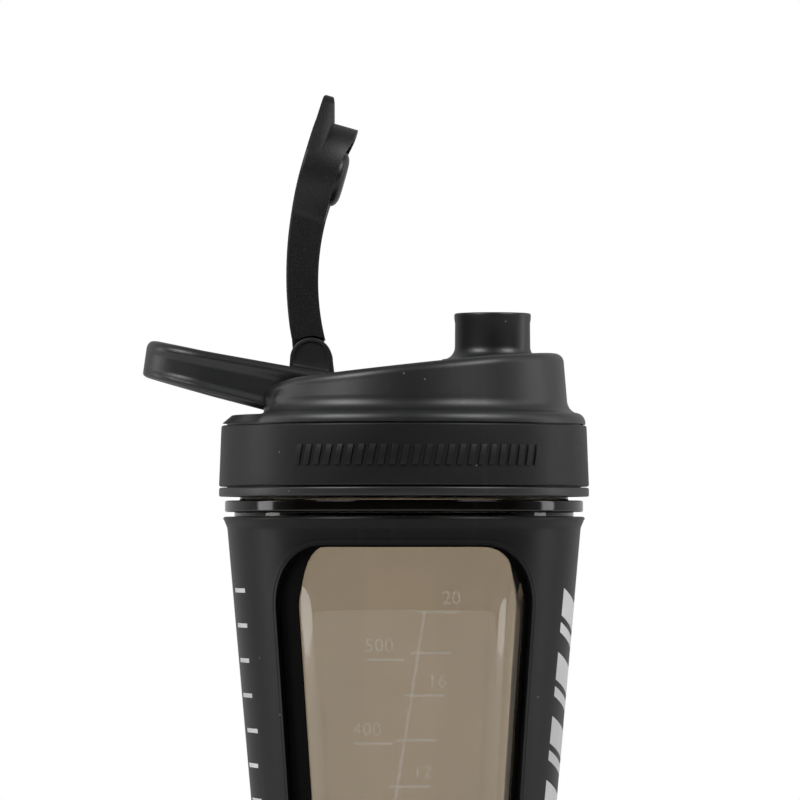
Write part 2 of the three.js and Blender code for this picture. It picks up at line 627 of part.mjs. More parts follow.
function makeStopperClosed() {
  const tip = SPOUT_TOP - STOPPER_DEPTH;
  const seat = SPOUT_TOP + GAP;
  const neck = SPOUT_BORE - STOPPER_FIT;
  const tipRadius = neck - STOPPER_TAPER;
  const flangeRadius = SPOUT_BORE + STOPPER_FLANGE_WIDTH;
  return turned([
    [tipRadius - STOPPER_TIP_EDGE, tip],
    [tipRadius, tip + STOPPER_TIP_EDGE],
    [tipRadius + STOPPER_TIP_SWELL, tip + STOPPER_TIP_HEIGHT],
    [neck, SPOUT_TOP - STOPPER_NECK_HEIGHT],
    [neck, seat],
    [flangeRadius, seat],
    [flangeRadius, archHeight(WEB_ARCH, SPOUT_X - flangeRadius) - GAP],
  ], SMALL_ROUND).translate([SPOUT_X, 0, 0]);
}

// ---- Mixing ball: one wire wound from pole to pole ----

function makeBall() {
  const wound = BALL_RADIUS - WIRE_RADIUS;
  const points = [];
  for (let i = 0; i <= BALL_STEPS; i += 1) {
    const polar = BALL_POLE + ((Math.PI - 2 * BALL_POLE) * i) / BALL_STEPS;
    const turn = (2 * Math.PI * BALL_TURNS * i) / BALL_STEPS;
    points.push(new THREE.Vector3().setFromSphericalCoords(wound, polar, turn));
  }
  const wire = new THREE.Shape();
  for (let i = 0; i < WIRE_SIDES; i += 1) {
    const angle = (2 * Math.PI * i) / WIRE_SIDES;
    const point = [WIRE_RADIUS * Math.cos(angle), WIRE_RADIUS * Math.sin(angle)];
    if (i === 0) wire.moveTo(...point);
    else wire.lineTo(...point);
  }
  const path = new THREE.CatmullRomCurve3(points);
  const coil = new THREE.ExtrudeGeometry(wire, { steps: BALL_STEPS, extrudePath: path, bevelEnabled: false });
  coil.rotateX(Math.PI / 2);
  const lowest = wound * Math.cos(BALL_POLE) + WIRE_RADIUS;
  return toSolid(coil).translate([0, 0, CUP_INSIDE_BOTTOM + GAP + lowest]);
}

// ---- The bottle ----

const PIECES = [
  { name: 'cup', make: makeCup, color: 0x8c7d6b, roughness: 0.08, metalness: 0, opacity: 0.5 },
  { name: 'sleeve', make: makeSleeve, color: 0x161617, roughness: 0.75, metalness: 0 },
  { name: 'lid_shell', make: makeLid, color: 0x202022, roughness: 0.5, metalness: 0 },
  { name: 'grip_collar', make: makeCollar, color: 0x1d1d1f, roughness: 0.7, metalness: 0 },
  { name: 'lid_seal', make: makeSeal, color: 0x6d6d6d, roughness: 0.6, metalness: 0 },
  { name: 'flip_cap', make: () => opened(makeCapClosed()), color: 0x1c1c1e, roughness: 0.5, metalness: 0 },
  { name: 'spout_stopper', make: () => opened(makeStopperClosed()), color: 0x141414, roughness: 0.6, metalness: 0 },
  {
    name: 'hinge_pin',
    make: () => hingeBar(PIN_RADIUS, PIN_BLIND, EAR_OUTSIDE - GAP),
    color: 0xb4b6b8,
    roughness: 0.3,
    metalness: 1,
  },
  { name: 'mixing_ball', make: makeBall, color: 0xc4c6c8, roughness: 0.2, metalness: 1 },
];

const bottle = new THREE.Group();
for (const { name, make, color, roughness, metalness, opacity = 1 } of PIECES) {
  const { vertProperties, triVerts } = make().getMesh();
  const geometry = new THREE.BufferGeometry();
  geometry.setAttribute('position', new THREE.BufferAttribute(vertProperties, 3));
  geometry.setIndex(new THREE.BufferAttribute(triVerts, 1));
  geometry.computeVertexNormals();
  const look = { color, roughness, metalness, opacity, transparent: opacity < 1 };
  const mesh = new THREE.Mesh(geometry, new THREE.MeshStandardMaterial(look));
  mesh.name = name;
  bottle.add(mesh);
}

export default bottle;
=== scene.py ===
"""Flip-top protein shaker bottle: fine meshes, finishes and studio, in the frame of its CAD model.

Sizes are in millimetres until a mesh is made. The front of the bottle faces -Y and its spout lies towards +X.
"""

import logging
import math
from collections.abc import Callable
from dataclasses import dataclass
from enum import Enum

import bmesh
import bpy
import numpy as np
from mathutils import Matrix, Vector


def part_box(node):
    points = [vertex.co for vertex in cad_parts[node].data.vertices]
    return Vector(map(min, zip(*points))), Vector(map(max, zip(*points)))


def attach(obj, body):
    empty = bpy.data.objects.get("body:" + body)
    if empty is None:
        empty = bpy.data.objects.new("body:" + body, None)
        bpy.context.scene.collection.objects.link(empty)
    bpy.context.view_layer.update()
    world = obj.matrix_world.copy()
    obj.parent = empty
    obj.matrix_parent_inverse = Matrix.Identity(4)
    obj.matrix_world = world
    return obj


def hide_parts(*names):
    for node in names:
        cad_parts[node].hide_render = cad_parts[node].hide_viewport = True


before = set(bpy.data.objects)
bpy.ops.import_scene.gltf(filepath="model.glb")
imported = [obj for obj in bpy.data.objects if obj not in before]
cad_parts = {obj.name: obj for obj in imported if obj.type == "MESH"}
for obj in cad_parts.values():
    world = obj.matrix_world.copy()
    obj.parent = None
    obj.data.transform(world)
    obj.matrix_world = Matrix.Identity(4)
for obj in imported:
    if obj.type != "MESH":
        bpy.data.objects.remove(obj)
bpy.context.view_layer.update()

LOG = logging.getLogger("bottle")
MM = 0.001
TINY = 1e-7
ROUND = 192  # facets round the main axis
SMALL_ROUND = 64  # facets round the spout, the stopper and the hinge
CLEAR = 6.0  # how far a cutting solid reaches beyond the piece
WALL_TAPER = 0.0885  # radius gained for each millimetre of height
SLEEVE_FLARE = 0.85  # at the top of the sleeve
CUP_STEP = 2.1  # from the outside of the sleeve in to the cup
NECK_STEP = 1.4  # from the outside of the cup in to the neck
THREAD_DEPTH = 1.4
THREAD_LEAD = 12.0  # rise in a full turn
THREAD_START = 3.85  # of the cup's thread, above its ring
THREAD_BITE = 0.5  # how deep a thread's root sits in its wall
FULL_TURN = 360.0
ROUND_BAR = (0, 352.5, 47)  # angles and chords of a round bar's outline

Point = tuple[float, float]
Row = list[tuple[float, float, float]]
Socket = bpy.types.NodeSocket
Tone = tuple[float, float, float]


class Join(Enum):
    """What a second solid does to the first."""

    ADD = "UNION"
    CUT = "DIFFERENCE"
    KEEP = "INTERSECT"


class Body(Enum):
    """Bodies of the bottle that move on their own."""

    CUP = "cup"
    LID = "lid"
    SEAL = "seal_ring"
    CAP = "flip_cap"
    BALL = "mixing_ball"


# ---- Outlines and solids ----


def smooth(value: float) -> float:
    """Eased step from 0 to 1."""
    t = min(max(value, 0.0), 1.0)
    return t * t * (3 - 2 * t)


def arc(x: float, z: float, radius: Point, start: float, end: float, steps: int = 8) -> list[Point]:
    """Points on an ellipse arc.

    Args:
        x: Centre of the arc across.
        z: Centre of the arc upwards.
        radius: Radii across and upwards.
        start: First angle in degrees.
        end: Last angle in degrees.
        steps: Number of chords.

    Returns:
        The points, from the first angle to the last.
    """
    turns = [math.radians(start + (end - start) * i / steps) for i in range(steps + 1)]
    return [(x + radius[0] * math.cos(a), z + radius[1] * math.sin(a)) for a in turns]


def rounded(corners: list[tuple[float, float, float]], steps: int = 8, chord: float = 0.0) -> list[Point]:
    """Closed outline with bent corners.

    Args:
        corners: Each corner as x, z and the radius of its bend.
        steps: Chords in each bend.
        chord: Longest straight stretch between points, or 0 for no limit.

    Returns:
        Points of the outline.
    """
    points: list[Vector] = []
    for i, (x, z, bend) in enumerate(corners):
        here = Vector((x, z))
        back = (Vector(corners[i - 1][:2]) - here).normalized()
        ahead = (Vector(corners[(i + 1) % len(corners)][:2]) - here).normalized()
        if bend <= 0:
            points.append(here)
            continue
        half = back.angle(ahead) / 2
        middle = here + (back + ahead).normalized() * bend / math.sin(half)
        first = here + back * bend / math.tan(half) - middle
        last = here + ahead * bend / math.tan(half) - middle
        turn = math.atan2(first.x * last.y - first.y * last.x, first.dot(last))
        for k in range(steps + 1):
            points.append(middle + Matrix.Rotation(turn * k / steps, 2) @ first)
    if chord <= 0:
        return [tuple(p) for p in points]
    filled: list[Point] = []
    for a, b in zip(points, points[1:] + points[:1]):
        parts = max(1, math.ceil((b - a).length / chord))
        filled += [tuple(a.lerp(b, k / parts)) for k in range(parts)]
    return filled


def skin(name: str, rows: list[Row], ring: bool = False) -> bpy.types.Object:
    """Closed mesh through rows of points.

    Args:
        name: Name of the piece.
        rows: Rows with the same number of points, each closed on itself.
        ring: True if the last row joins the first, False if both ends are filled.

    Returns:
        The new object, with its normals pointing out.
    """
    count = len(rows[0])
    total = len(rows)
    faces: list[tuple[int, ...]] = []
    for j in range(total if ring else total - 1):
        low, high = j * count, (j + 1) % total * count
        faces += [(low + i, low + (i + 1) % count, high + (i + 1) % count, high + i) for i in range(count)]
    if not ring:
        faces += [tuple(range(count)), tuple(range((total - 1) * count, total * count))]
    mesh = bpy.data.meshes.new(name)
    mesh.from_pydata((np.array(rows, float).reshape(-1, 3) * MM).tolist(), [], faces)
    bm = bmesh.new()
    bm.from_mesh(mesh)
    bmesh.ops.remove_doubles(bm, verts=bm.verts, dist=TINY)
    bmesh.ops.recalc_face_normals(bm, faces=bm.faces)
    bm.to_mesh(mesh)
    bm.free()
    obj = bpy.data.objects.new(name, mesh)
    bpy.context.scene.collection.objects.link(obj)
    return obj


def circle(radius: float, z: float, count: int = ROUND, centre: float = 0.0) -> Row:
    """A level row of points round an axis that stands at x = centre."""
    turns = [2 * math.pi * i / count for i in range(count)]
    return [(centre + radius * math.cos(a), radius * math.sin(a), z) for a in turns]


def lathe(
    name: str, profile: list[Point], count: int = ROUND, ring: bool = False, centre: float = 0.0
) -> bpy.types.Object:
    """Body of revolution about an upright axis.

    Args:
        name: Name of the piece.
        profile: Radius and height of each point.
        count: Facets round the axis.
        ring: True if the profile closes on itself.
        centre: Where the axis stands along x.

    Returns:
        The new object.
    """
    return skin(name, [circle(r, z, count, centre) for r, z in profile], ring)


def widened(name: str, outline: list[Point], low: float, high: float) -> bpy.types.Object:
    """A side outline, in x and z, widened along y."""
    return skin(name, [[(x, y, z) for x, z in outline] for y in (low, high)])


def raised(name: str, outline: list[Point], low: float, high: float) -> bpy.types.Object:
    """A plan outline, in x and y, raised along z."""
    return skin(name, [[(x, y, z) for x, y in outline] for z in (low, high)])


def settle(obj: bpy.types.Object) -> None:
    """Turns the modifiers of an object into plain mesh."""
    made = bpy.data.meshes.new_from_object(obj.evaluated_get(bpy.context.evaluated_depsgraph_get()))
    obj.modifiers.clear()
    obj.data = made


def join(base: bpy.types.Object, other: bpy.types.Object, mode: Join) -> None:
    """Adds a solid to another, cuts it away or keeps what both share.

    Args:
        base: The solid that changes.
        other: The second solid, which is used up.
        mode: What happens to the first.
    """
    before = len(base.data.vertices)
    for solver in ("MANIFOLD", "EXACT"):
        change = base.modifiers.new("join", "BOOLEAN")
        change.solver = solver
        change.operation = mode.value
        change.object = other
        bpy.context.view_layer.update()
        made = base.evaluated_get(bpy.context.evaluated_depsgraph_get()).data
        if len(made.vertices) not in (before, 0):
            break
        LOG.info("%s: %s solver left %s unchanged by %s", base.name, solver, base.name, other.name)
        base.modifiers.clear()
    settle(base)
    bpy.data.objects.remove(other)


def soften(obj: bpy.types.Object, width: float, segments: int = 3, angle: float = 40.0) -> None:
    """Rounds the edges of a solid that are sharper than an angle in degrees."""
    change = obj.modifiers.new("soften", "BEVEL")
    change.width = width * MM
    change.segments = segments
    change.limit_method = "ANGLE"
    change.angle_limit = math.radians(angle)
    settle(obj)


# ---- Node graphs ----


class Graph:
    """Short hand for building a node tree."""

    def __init__(self, tree: bpy.types.NodeTree) -> None:
        """Empties the tree and keeps it."""
        self.tree = tree
        tree.nodes.clear()

    def node(self, kind: str, feeds: dict | None = None, **settings: object) -> bpy.types.Node:
        """Adds a node.

        Args:
            kind: Type of the node.
            feeds: Values or sockets for its inputs, by name or by place.
            settings: Attributes of the node.

        Returns:
            The node.
        """
        made = self.tree.nodes.new(kind)
        for key, value in settings.items():
            setattr(made, key, value)
        for key, value in (feeds or {}).items():
            self.feed(made.inputs[key], value)
        return made

    def feed(self, socket: Socket, value: object) -> None:
        """Links a socket to an input, or sets the input to a value."""
        if isinstance(value, bpy.types.NodeSocket):
            self.tree.links.new(value, socket)
        else:
            socket.default_value = value

    def math(self, operation: str, a: object, b: object = 0.0) -> Socket:
        """Result of a sum on two numbers or sockets."""
        return self.node("ShaderNodeMath", {0: a, 1: b}, operation=operation).outputs[0]

    def span(self, value: Socket, low: float, high: float, to_low: float, to_high: float) -> Socket:
        """A number moved from one range to another, without leaving it."""
        feeds = {"Value": value, "From Min": low, "From Max": high, "To Min": to_low, "To Max": to_high}
        return self.node("ShaderNodeMapRange", feeds).outputs["Result"]

    def mix(self, share: object, a: object, b: object) -> Socket:
        """Two colours mixed."""
        made = self.node("ShaderNodeMix", data_type="RGBA")
        for place, value in ((0, share), (6, a), (7, b)):
            self.feed(made.inputs[place], value)
        return made.outputs[2]

    def noise(self, place: Socket, scale: float, detail: float = 2.0) -> Socket:
        """Strength of a cloudy pattern."""
        feeds = {"Vector": place, "Scale": scale, "Detail": detail}
        return self.node("ShaderNodeTexNoise", feeds).outputs[0]


def shade(tone: Tone) -> tuple[float, float, float, float]:
    """A colour with its alpha."""
    return (*tone, 1.0)


@dataclass(frozen=True)
class Finish:
    """A moulded or drawn surface with blotches, grain, rubbed places and dust."""

    name: str
    tone: Tone
    worn: Tone
    roughness: float
    spread: float = 0.12  # of the roughness
    blotch: float = 35.0  # clouds for each metre
    grain: float = 3500.0  # grains for each metre
    depth: float = 0.02  # of the grain, in millimetres
    sparkle: float = 0.0  # how much single grains stand out
    dust: float = 0.04  # share of specks that show
    metallic: float = 0.0
    specular: float = 0.5
    coat: float = 0.0
    transmission: float = 0.0
    alpha: float = 1.0
    ior: float = 1.5
    contrast: float = 0.72  # of the darker clouds

    def material(self) -> bpy.types.Material:
        """Node material of this finish, made once."""
        known = bpy.data.materials.get(self.name)
        if known is not None:
            return known
        made = bpy.data.materials.new(self.name)
        made.use_nodes = True
        graph = Graph(made.node_tree)
        place = graph.node("ShaderNodeTexCoord").outputs["Object"]
        clouds = graph.noise(place, self.blotch, 4.0)
        grains = graph.noise(place, self.grain, 2.0)
        stretched = graph.node("ShaderNodeMapping", {"Vector": place, "Scale": (1.0, 1.0, 0.12)}).outputs[0]
        rubs = graph.span(graph.noise(stretched, self.blotch * 9, 6.0), 0.6, 0.78, 0.0, 1.0)
        rubbed = graph.math("MULTIPLY", rubs, graph.span(clouds, 0.42, 0.7, 0.0, 0.5))
        deeper = shade(tuple(self.contrast * part for part in self.tone))
        colour = graph.mix(graph.span(clouds, 0.3, 0.7, 0.0, 1.0), deeper, shade(self.tone))
        if self.sparkle > 0:
            spark = graph.span(grains, 0.58, 0.72, 0.0, self.sparkle)
            colour = graph.mix(spark, colour, shade(self.worn))
        colour = graph.mix(rubbed, colour, shade(self.worn))
        half = self.spread / 2
        rough = graph.span(clouds, 0.25, 0.75, self.roughness - half, self.roughness + half)
        rough = graph.math("SUBTRACT", rough, graph.math("MULTIPLY", rubbed, self.spread))
        if self.dust > 0:
            cells = graph.node("ShaderNodeTexVoronoi", {"Vector": place, "Scale": 380.0})
            chosen = graph.math("GREATER_THAN", self._first(graph, cells.outputs["Color"]), 1 - self.dust)
            near = graph.math("LESS_THAN", cells.outputs["Distance"], 0.085)
            specks = graph.math("MULTIPLY", chosen, near)
            colour = graph.mix(specks, colour, shade(DUST))
        relief = graph.math("ADD", grains, graph.math("MULTIPLY", rubbed, -0.5))
        bump = graph.node("ShaderNodeBump", {"Height": relief, "Distance": self.depth * MM})
        bump.inputs["Strength"].default_value = 1.0
        shader = graph.node("ShaderNodeBsdfPrincipled", {
            "Base Color": colour,
            "Roughness": rough,
            "Normal": bump.outputs[0],
            "Metallic": self.metallic,
            "Specular IOR Level": self.specular,
            "Coat Weight": self.coat,
            "Coat Roughness": 0.12,
            "Transmission Weight": self.transmission,
            "Alpha": self.alpha,
            "IOR": self.ior,
        })
        graph.node("ShaderNodeOutputMaterial", {"Surface": shader.outputs[0]})
        return made

    @staticmethod
    def _first(graph: Graph, colour: Socket) -> Socket:
        """First channel of a colour."""
        return graph.node("ShaderNodeSeparateColor", {0: colour}).outputs[0]


DUST: Tone = (0.16, 0.16, 0.16)
SMOKE = Finish(
    "smoke_plastic", (0.527, 0.469, 0.391), (0.545, 0.487, 0.408), 0.03,
    spread=0.03, grain=60.0, depth=0.0008, dust=0.0, transmission=1.0, ior=1.49, contrast=0.95,
)
# Near-black opaque copy of the cup's smoky plastic. It is dark for real on the thick ring, and it is painted
# shade on the thin wall in the gap between the ring and the sleeve.
SMOKE_THICK_AND_GAP_SHADE = Finish(
    "smoke_plastic_thick_and_gap_shade", (0.004, 0.0035, 0.003), (0.02, 0.02, 0.02), 0.09,
    spread=0.05, depth=0.003, dust=0.0,
)
SMOKE_MARK = Finish(
    "smoke_mark", (0.93, 0.9, 0.85), (0.97, 0.95, 0.9), 0.4, dust=0.0, alpha=0.15, specular=0.3,
)
RUBBER = Finish(
    "soft_rubber", (0.003, 0.003, 0.0034), (0.015, 0.015, 0.017), 0.36,
    spread=0.08, depth=0.012, dust=0.05, specular=0.25,
)
# Near-black, almost unreflecting rubber for the window lips. It is painted dark, so that the widened left lip
# stands in for the black sleeve seen by refraction through the cup's wall.
RUBBER_LIP_PAINTED_DARK = Finish(
    "rubber_lip_painted_dark", (0.002, 0.002, 0.002), (0.004, 0.004, 0.004), 0.6, depth=0.004, dust=0.0, specular=0.05,
)
COLLAR = Finish(
    "collar_rubber", (0.005, 0.005, 0.0058), (0.022, 0.022, 0.024), 0.47, depth=0.02, dust=0.1, specular=0.4,
)
SATIN = Finish(
    "satin_plastic", (0.0115, 0.012, 0.0125), (0.04, 0.04, 0.042), 0.42,
    spread=0.1, depth=0.012, dust=0.08, specular=0.7,
)
GRAINED = Finish(
    "grained_plastic", (0.0036, 0.0036, 0.004), (0.035, 0.035, 0.037), 0.46,
    grain=2600.0, depth=0.05, sparkle=0.45, dust=0.03,
)
SILICONE = Finish("silicone", (0.012, 0.012, 0.013), (0.04, 0.04, 0.04), 0.38, dust=0.03)
SEAL_GREY = Finish("seal_silicone", (0.16, 0.16, 0.165), (0.25, 0.25, 0.25), 0.5, dust=0.0)
STEEL = Finish(
    "steel", (0.5, 0.5, 0.51), (0.62, 0.62, 0.62), 0.24, grain=900.0, depth=0.006, dust=0.0, metallic=1.0,
)
INK = Finish("white_ink", (0.78, 0.78, 0.78), (0.55, 0.55, 0.55), 0.5, spread=0.1, depth=0.006, dust=0.0)


def dress(
    obj: bpy.types.Object,
    finishes: list[Finish],
    body: Body,
    nodes: tuple[str, ...] = (),
    crease: float = 32.0,
) -> bpy.types.Object:
    """Gives a piece its finish and its place in the assembly.

    Args:
        obj: The piece, in place.
        finishes: Its finishes, in the order of its material indices.
        body: The body it moves with.
        nodes: CAD nodes that it stands for.
        crease: Edges sharper than this many degrees stay sharp.

    Returns:
        The piece.
    """
    kept = np.zeros(len(obj.data.polygons), np.int32)
    obj.data.polygons.foreach_get("material_index", kept)
    obj.data.materials.clear()
    for finish in finishes:
        obj.data.materials.append(finish.material())
    obj.data.polygons.foreach_set("material_index", np.minimum(kept, len(finishes) - 1))
    obj.data.shade_smooth()
    obj.data.set_sharp_from_angle(angle=math.radians(crease))
    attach(obj, body.value)
    if nodes:
        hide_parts(*nodes)
    LOG.info("%s: %d faces, rides on %s", obj.name, len(obj.data.polygons), body.value)
    return obj


# ---- Sizes that the pieces share ----


@dataclass(frozen=True)
class Levels:
    """Heights and radii read from the CAD model, in millimetres."""

    sleeve_top: float
    neck_top: float
    lid_bottom: float
    lid_radius: float
    collar_bottom: float
    collar_top: float
    collar_radius: float
    seal: tuple[float, float, float]
    spout_top: float
    loop_reach: float
    pin: Point
    pin_ends: Point
    ball_bottom: float
    sleeve_base: float
    taper: float = WALL_TAPER
    gap: float = 0.3
    run: float = 0.4

    @classmethod
    def read(cls) -> "Levels":
        """Levels of the loaded frame."""
        boxes = {n: (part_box(n)[0] / MM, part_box(n)[1] / MM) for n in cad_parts}
        pin = boxes["hinge_pin"]
        return cls(
            sleeve_top=boxes["sleeve"][1].z,
            neck_top=boxes["cup"][1].z,
            lid_bottom=boxes["lid_shell"][0].z,
            lid_radius=boxes["lid_shell"][1].x,
            collar_bottom=boxes["grip_collar"][0].z,
            collar_top=boxes["grip_collar"][1].z,
            collar_radius=boxes["grip_collar"][1].x,
            seal=(boxes["lid_seal"][0].z, boxes["lid_seal"][1].z, boxes["lid_seal"][1].x),
            spout_top=boxes["lid_shell"][1].z,
            loop_reach=-boxes["lid_shell"][0].x,
            pin=((pin[0].x + pin[1].x) / 2, (pin[0].z + pin[1].z) / 2),
            pin_ends=(pin[0].y, pin[1].y),
            ball_bottom=boxes["mixing_ball"][0].z,
            sleeve_base=boxes["sleeve"][1].x - SLEEVE_FLARE - WALL_TAPER * boxes["sleeve"][1].z,
        )

    def sleeve_radius(self, z: float) -> float:
        """Outside of the sleeve at a height."""
        return self.sleeve_base + self.taper * z

    def cup_radius(self, z: float) -> float:
        """Outside of the cup at a height."""
        return self.sleeve_radius(z) - CUP_STEP

    @property
    def flange(self) -> float:
        """Underside of the flange of the dome."""
        return self.collar_top + self.gap

    @property
    def neck_radius(self) -> float:
        """Outside of the neck."""
        return self.cup_radius(self.sleeve_top) - NECK_STEP


def thread(name: str, root: float, crest: float, bottom: float, first: float) -> bpy.types.Object:
    """Two ridges of a screw thread, as one piece.

    Args:
        name: Name of the piece.
        root: Radius at which the ridges stand.
        crest: Radius that they reach.
        bottom: Height of their lower ends.
        first: Angle in degrees at which the first begins.

    Returns:
        The ridges.
    """
    sweep, steps = 300.0, 120
    root_half, crest_half, fade, tip = 1.3, 0.6, 12.0, 0.1
    made: list[bpy.types.Object] = []
    for start in range(2):
        rows: list[Row] = []
        for k in range(steps + 1):
            share = k / steps
            reach = root + (crest - root) * min(1.0, tip + min(share, 1 - share) * fade)
            turn = math.radians(first + FULL_TURN / 2 * start + sweep * share)
            z = bottom + THREAD_LEAD * sweep * share / FULL_TURN
            section = ((root, -root_half), (reach, -crest_half), (reach, crest_half), (root, root_half))
            rows.append([(r * math.cos(turn), r * math.sin(turn), z + rise) for r, rise in section])
        made.append(skin(f"{name}_{start}", rows))
    join(made[0], made[1], Join.ADD)
    return made[0]


# ---- Marks that repeat round the bottle, made by geometry nodes ----


@dataclass(frozen=True)
class Marks:
    """A column or a row of small blocks wrapped on a tapered wall."""

    count: int
    width: float
    height: float
    proud: float
    angle: float  # of the first block, in degrees from the front
    top: float  # height of the first block
    radius: float  # of the wall at height nought
    taper: float = 0.0
    pitch: float = 0.0  # downwards from block to block
    growth: float = 1.0001  # of the pitch from block to block
    run: float = 0.0  # sideways from block to block
    slant: float = 0.0
    chevron: float = 0.0
    jitter: float = 0.0
    seed: int = 7

    def tree(self) -> bpy.types.NodeTree:
        """Node group shared by all marks, made once."""
        known = bpy.data.node_groups.get("wrapped_marks")
        if known is not None:
            return known
        tree = bpy.data.node_groups.new("wrapped_marks", "GeometryNodeTree")
        graph = Graph(tree)
        tree.interface.new_socket("Geometry", in_out="OUTPUT", socket_type="NodeSocketGeometry")
        for title in MARK_LENGTHS + MARK_NUMBERS:
            tree.interface.new_socket(title, in_out="INPUT", socket_type="NodeSocketFloat")
        tree.interface.new_socket("Count", in_out="INPUT", socket_type="NodeSocketInt")
        tree.interface.new_socket("Seed", in_out="INPUT", socket_type="NodeSocketInt")
        tree.interface.new_socket("Material", in_out="INPUT", socket_type="NodeSocketMaterial")
        given = graph.node("NodeGroupInput").outputs
        size = graph.node("ShaderNodeCombineXYZ", {0: given["Width"], 1: given["Proud"], 2: given["Height"]})
        cuts = {"Size": size.outputs[0], "Vertices X": 13, "Vertices Z": 3}
        block = graph.node("GeometryNodeMeshCube", cuts)
        part = graph.node("ShaderNodeSeparateXYZ", {0: graph.node("GeometryNodeInputPosition").outputs[0]})
        lean = graph.math("MULTIPLY", part.outputs[2], given["Slant"])
        fold = graph.math("MULTIPLY", graph.math("ABSOLUTE", part.outputs[0]), given["Chevron"])
        shift = graph.node("ShaderNodeCombineXYZ", {0: lean, 2: fold}).outputs[0]
        leaned = graph.node("GeometryNodeSetPosition", {"Geometry": block.outputs[0], "Offset": shift})
        index = graph.node("GeometryNodeInputIndex").outputs[0]
        grown = graph.math("SUBTRACT", graph.math("POWER", given["Growth"], index), 1.0)
        steps = graph.math("DIVIDE", grown, graph.math("SUBTRACT", given["Growth"], 1.0))
        down = graph.math("MULTIPLY", graph.math("MULTIPLY", steps, given["Pitch"]), -1.0)
        chance = graph.node("FunctionNodeRandomValue", {"Seed": given["Seed"], "ID": index})
        strays = graph.math("MULTIPLY", graph.math("SUBTRACT", chance.outputs[1], 0.5), given["Jitter"])
        side = graph.math("ADD", graph.math("MULTIPLY", index, given["Run"]), strays)
        spot = graph.node("ShaderNodeCombineXYZ", {0: side, 2: down}).outputs[0]
        points = graph.node("GeometryNodePoints", {"Count": given["Count"], "Position": spot})
        placed = graph.node(
            "GeometryNodeInstanceOnPoints", {"Points": points.outputs[0], "Instance": leaned.outputs[0]}
        )
        real = graph.node("GeometryNodeRealizeInstances", {"Geometry": placed.outputs[0]})
        flat = graph.node("ShaderNodeSeparateXYZ", {0: graph.node("GeometryNodeInputPosition").outputs[0]})
        rise = graph.math("ADD", flat.outputs[2], given["Top"])
        wall = graph.math("ADD", given["Radius"], graph.math("MULTIPLY", rise, given["Taper"]))
        turn = graph.math("ADD", graph.math("DIVIDE", flat.outputs[0], wall), given["Angle"])
        reach = graph.math("SUBTRACT", wall, flat.outputs[1])
        east = graph.math("MULTIPLY", reach, graph.math("SINE", turn))
        north = graph.math("MULTIPLY", graph.math("MULTIPLY", reach, graph.math("COSINE", turn)), -1.0)
        where = graph.node("ShaderNodeCombineXYZ", {0: east, 1: north, 2: rise}).outputs[0]
        bent = graph.node("GeometryNodeSetPosition", {"Geometry": real.outputs[0], "Position": where})
        whole = graph.node("GeometryNodeRealizeInstances", {"Geometry": bent.outputs[0]})
        paint = {"Geometry": whole.outputs[0], "Material": given["Material"]}
        painted = graph.node("GeometryNodeSetMaterial", paint)
        graph.node("NodeGroupOutput", {0: painted.outputs[0]})
        return tree

    def make(self, name: str, finish: Finish) -> bpy.types.Object:
        """Makes the blocks as one plain mesh.

        Args:
            name: Name of the piece.
            finish: Its finish.

        Returns:
            The piece, in place.
        """
        values: dict[str, object] = {t: getattr(self, t.lower()) * MM for t in MARK_LENGTHS}
        values |= {t: getattr(self, t.lower()) for t in MARK_NUMBERS}
        values |= {"Count": self.count, "Seed": self.seed, "Material": finish.material()}
        values["Angle"] = math.radians(self.angle)
        return grow(name, self.tree(), values)


MARK_LENGTHS = ("Width", "Height", "Proud", "Top", "Radius", "Pitch", "Run", "Jitter")
MARK_NUMBERS = ("Angle", "Taper", "Growth", "Slant", "Chevron")


def grow(name: str, tree: bpy.types.NodeTree, values: dict[str, object]) -> bpy.types.Object:
    """Runs a geometry node group and keeps its result as a plain mesh.

    Args:
        name: Name of the piece.
        tree: The node group.
        values: Value of each named input.

    Returns:
        The piece.
    """
    obj = bpy.data.objects.new(name, bpy.data.meshes.new(name))
    bpy.context.scene.collection.objects.link(obj)
    change = obj.modifiers.new("grow", "NODES")
    change.node_group = tree
    for item in tree.interface.items_tree:
        if item.in_out == "INPUT" and item.name in values:
            change[item.identifier] = values[item.name]
    bpy.context.view_layer.update()
    settle(obj)
    bm = bmesh.new()
    bm.from_mesh(obj.data)
    bmesh.ops.recalc_face_normals(bm, faces=bm.faces)
    bm.to_mesh(obj.data)
    bm.free()
    return obj


# ---- Cup ----


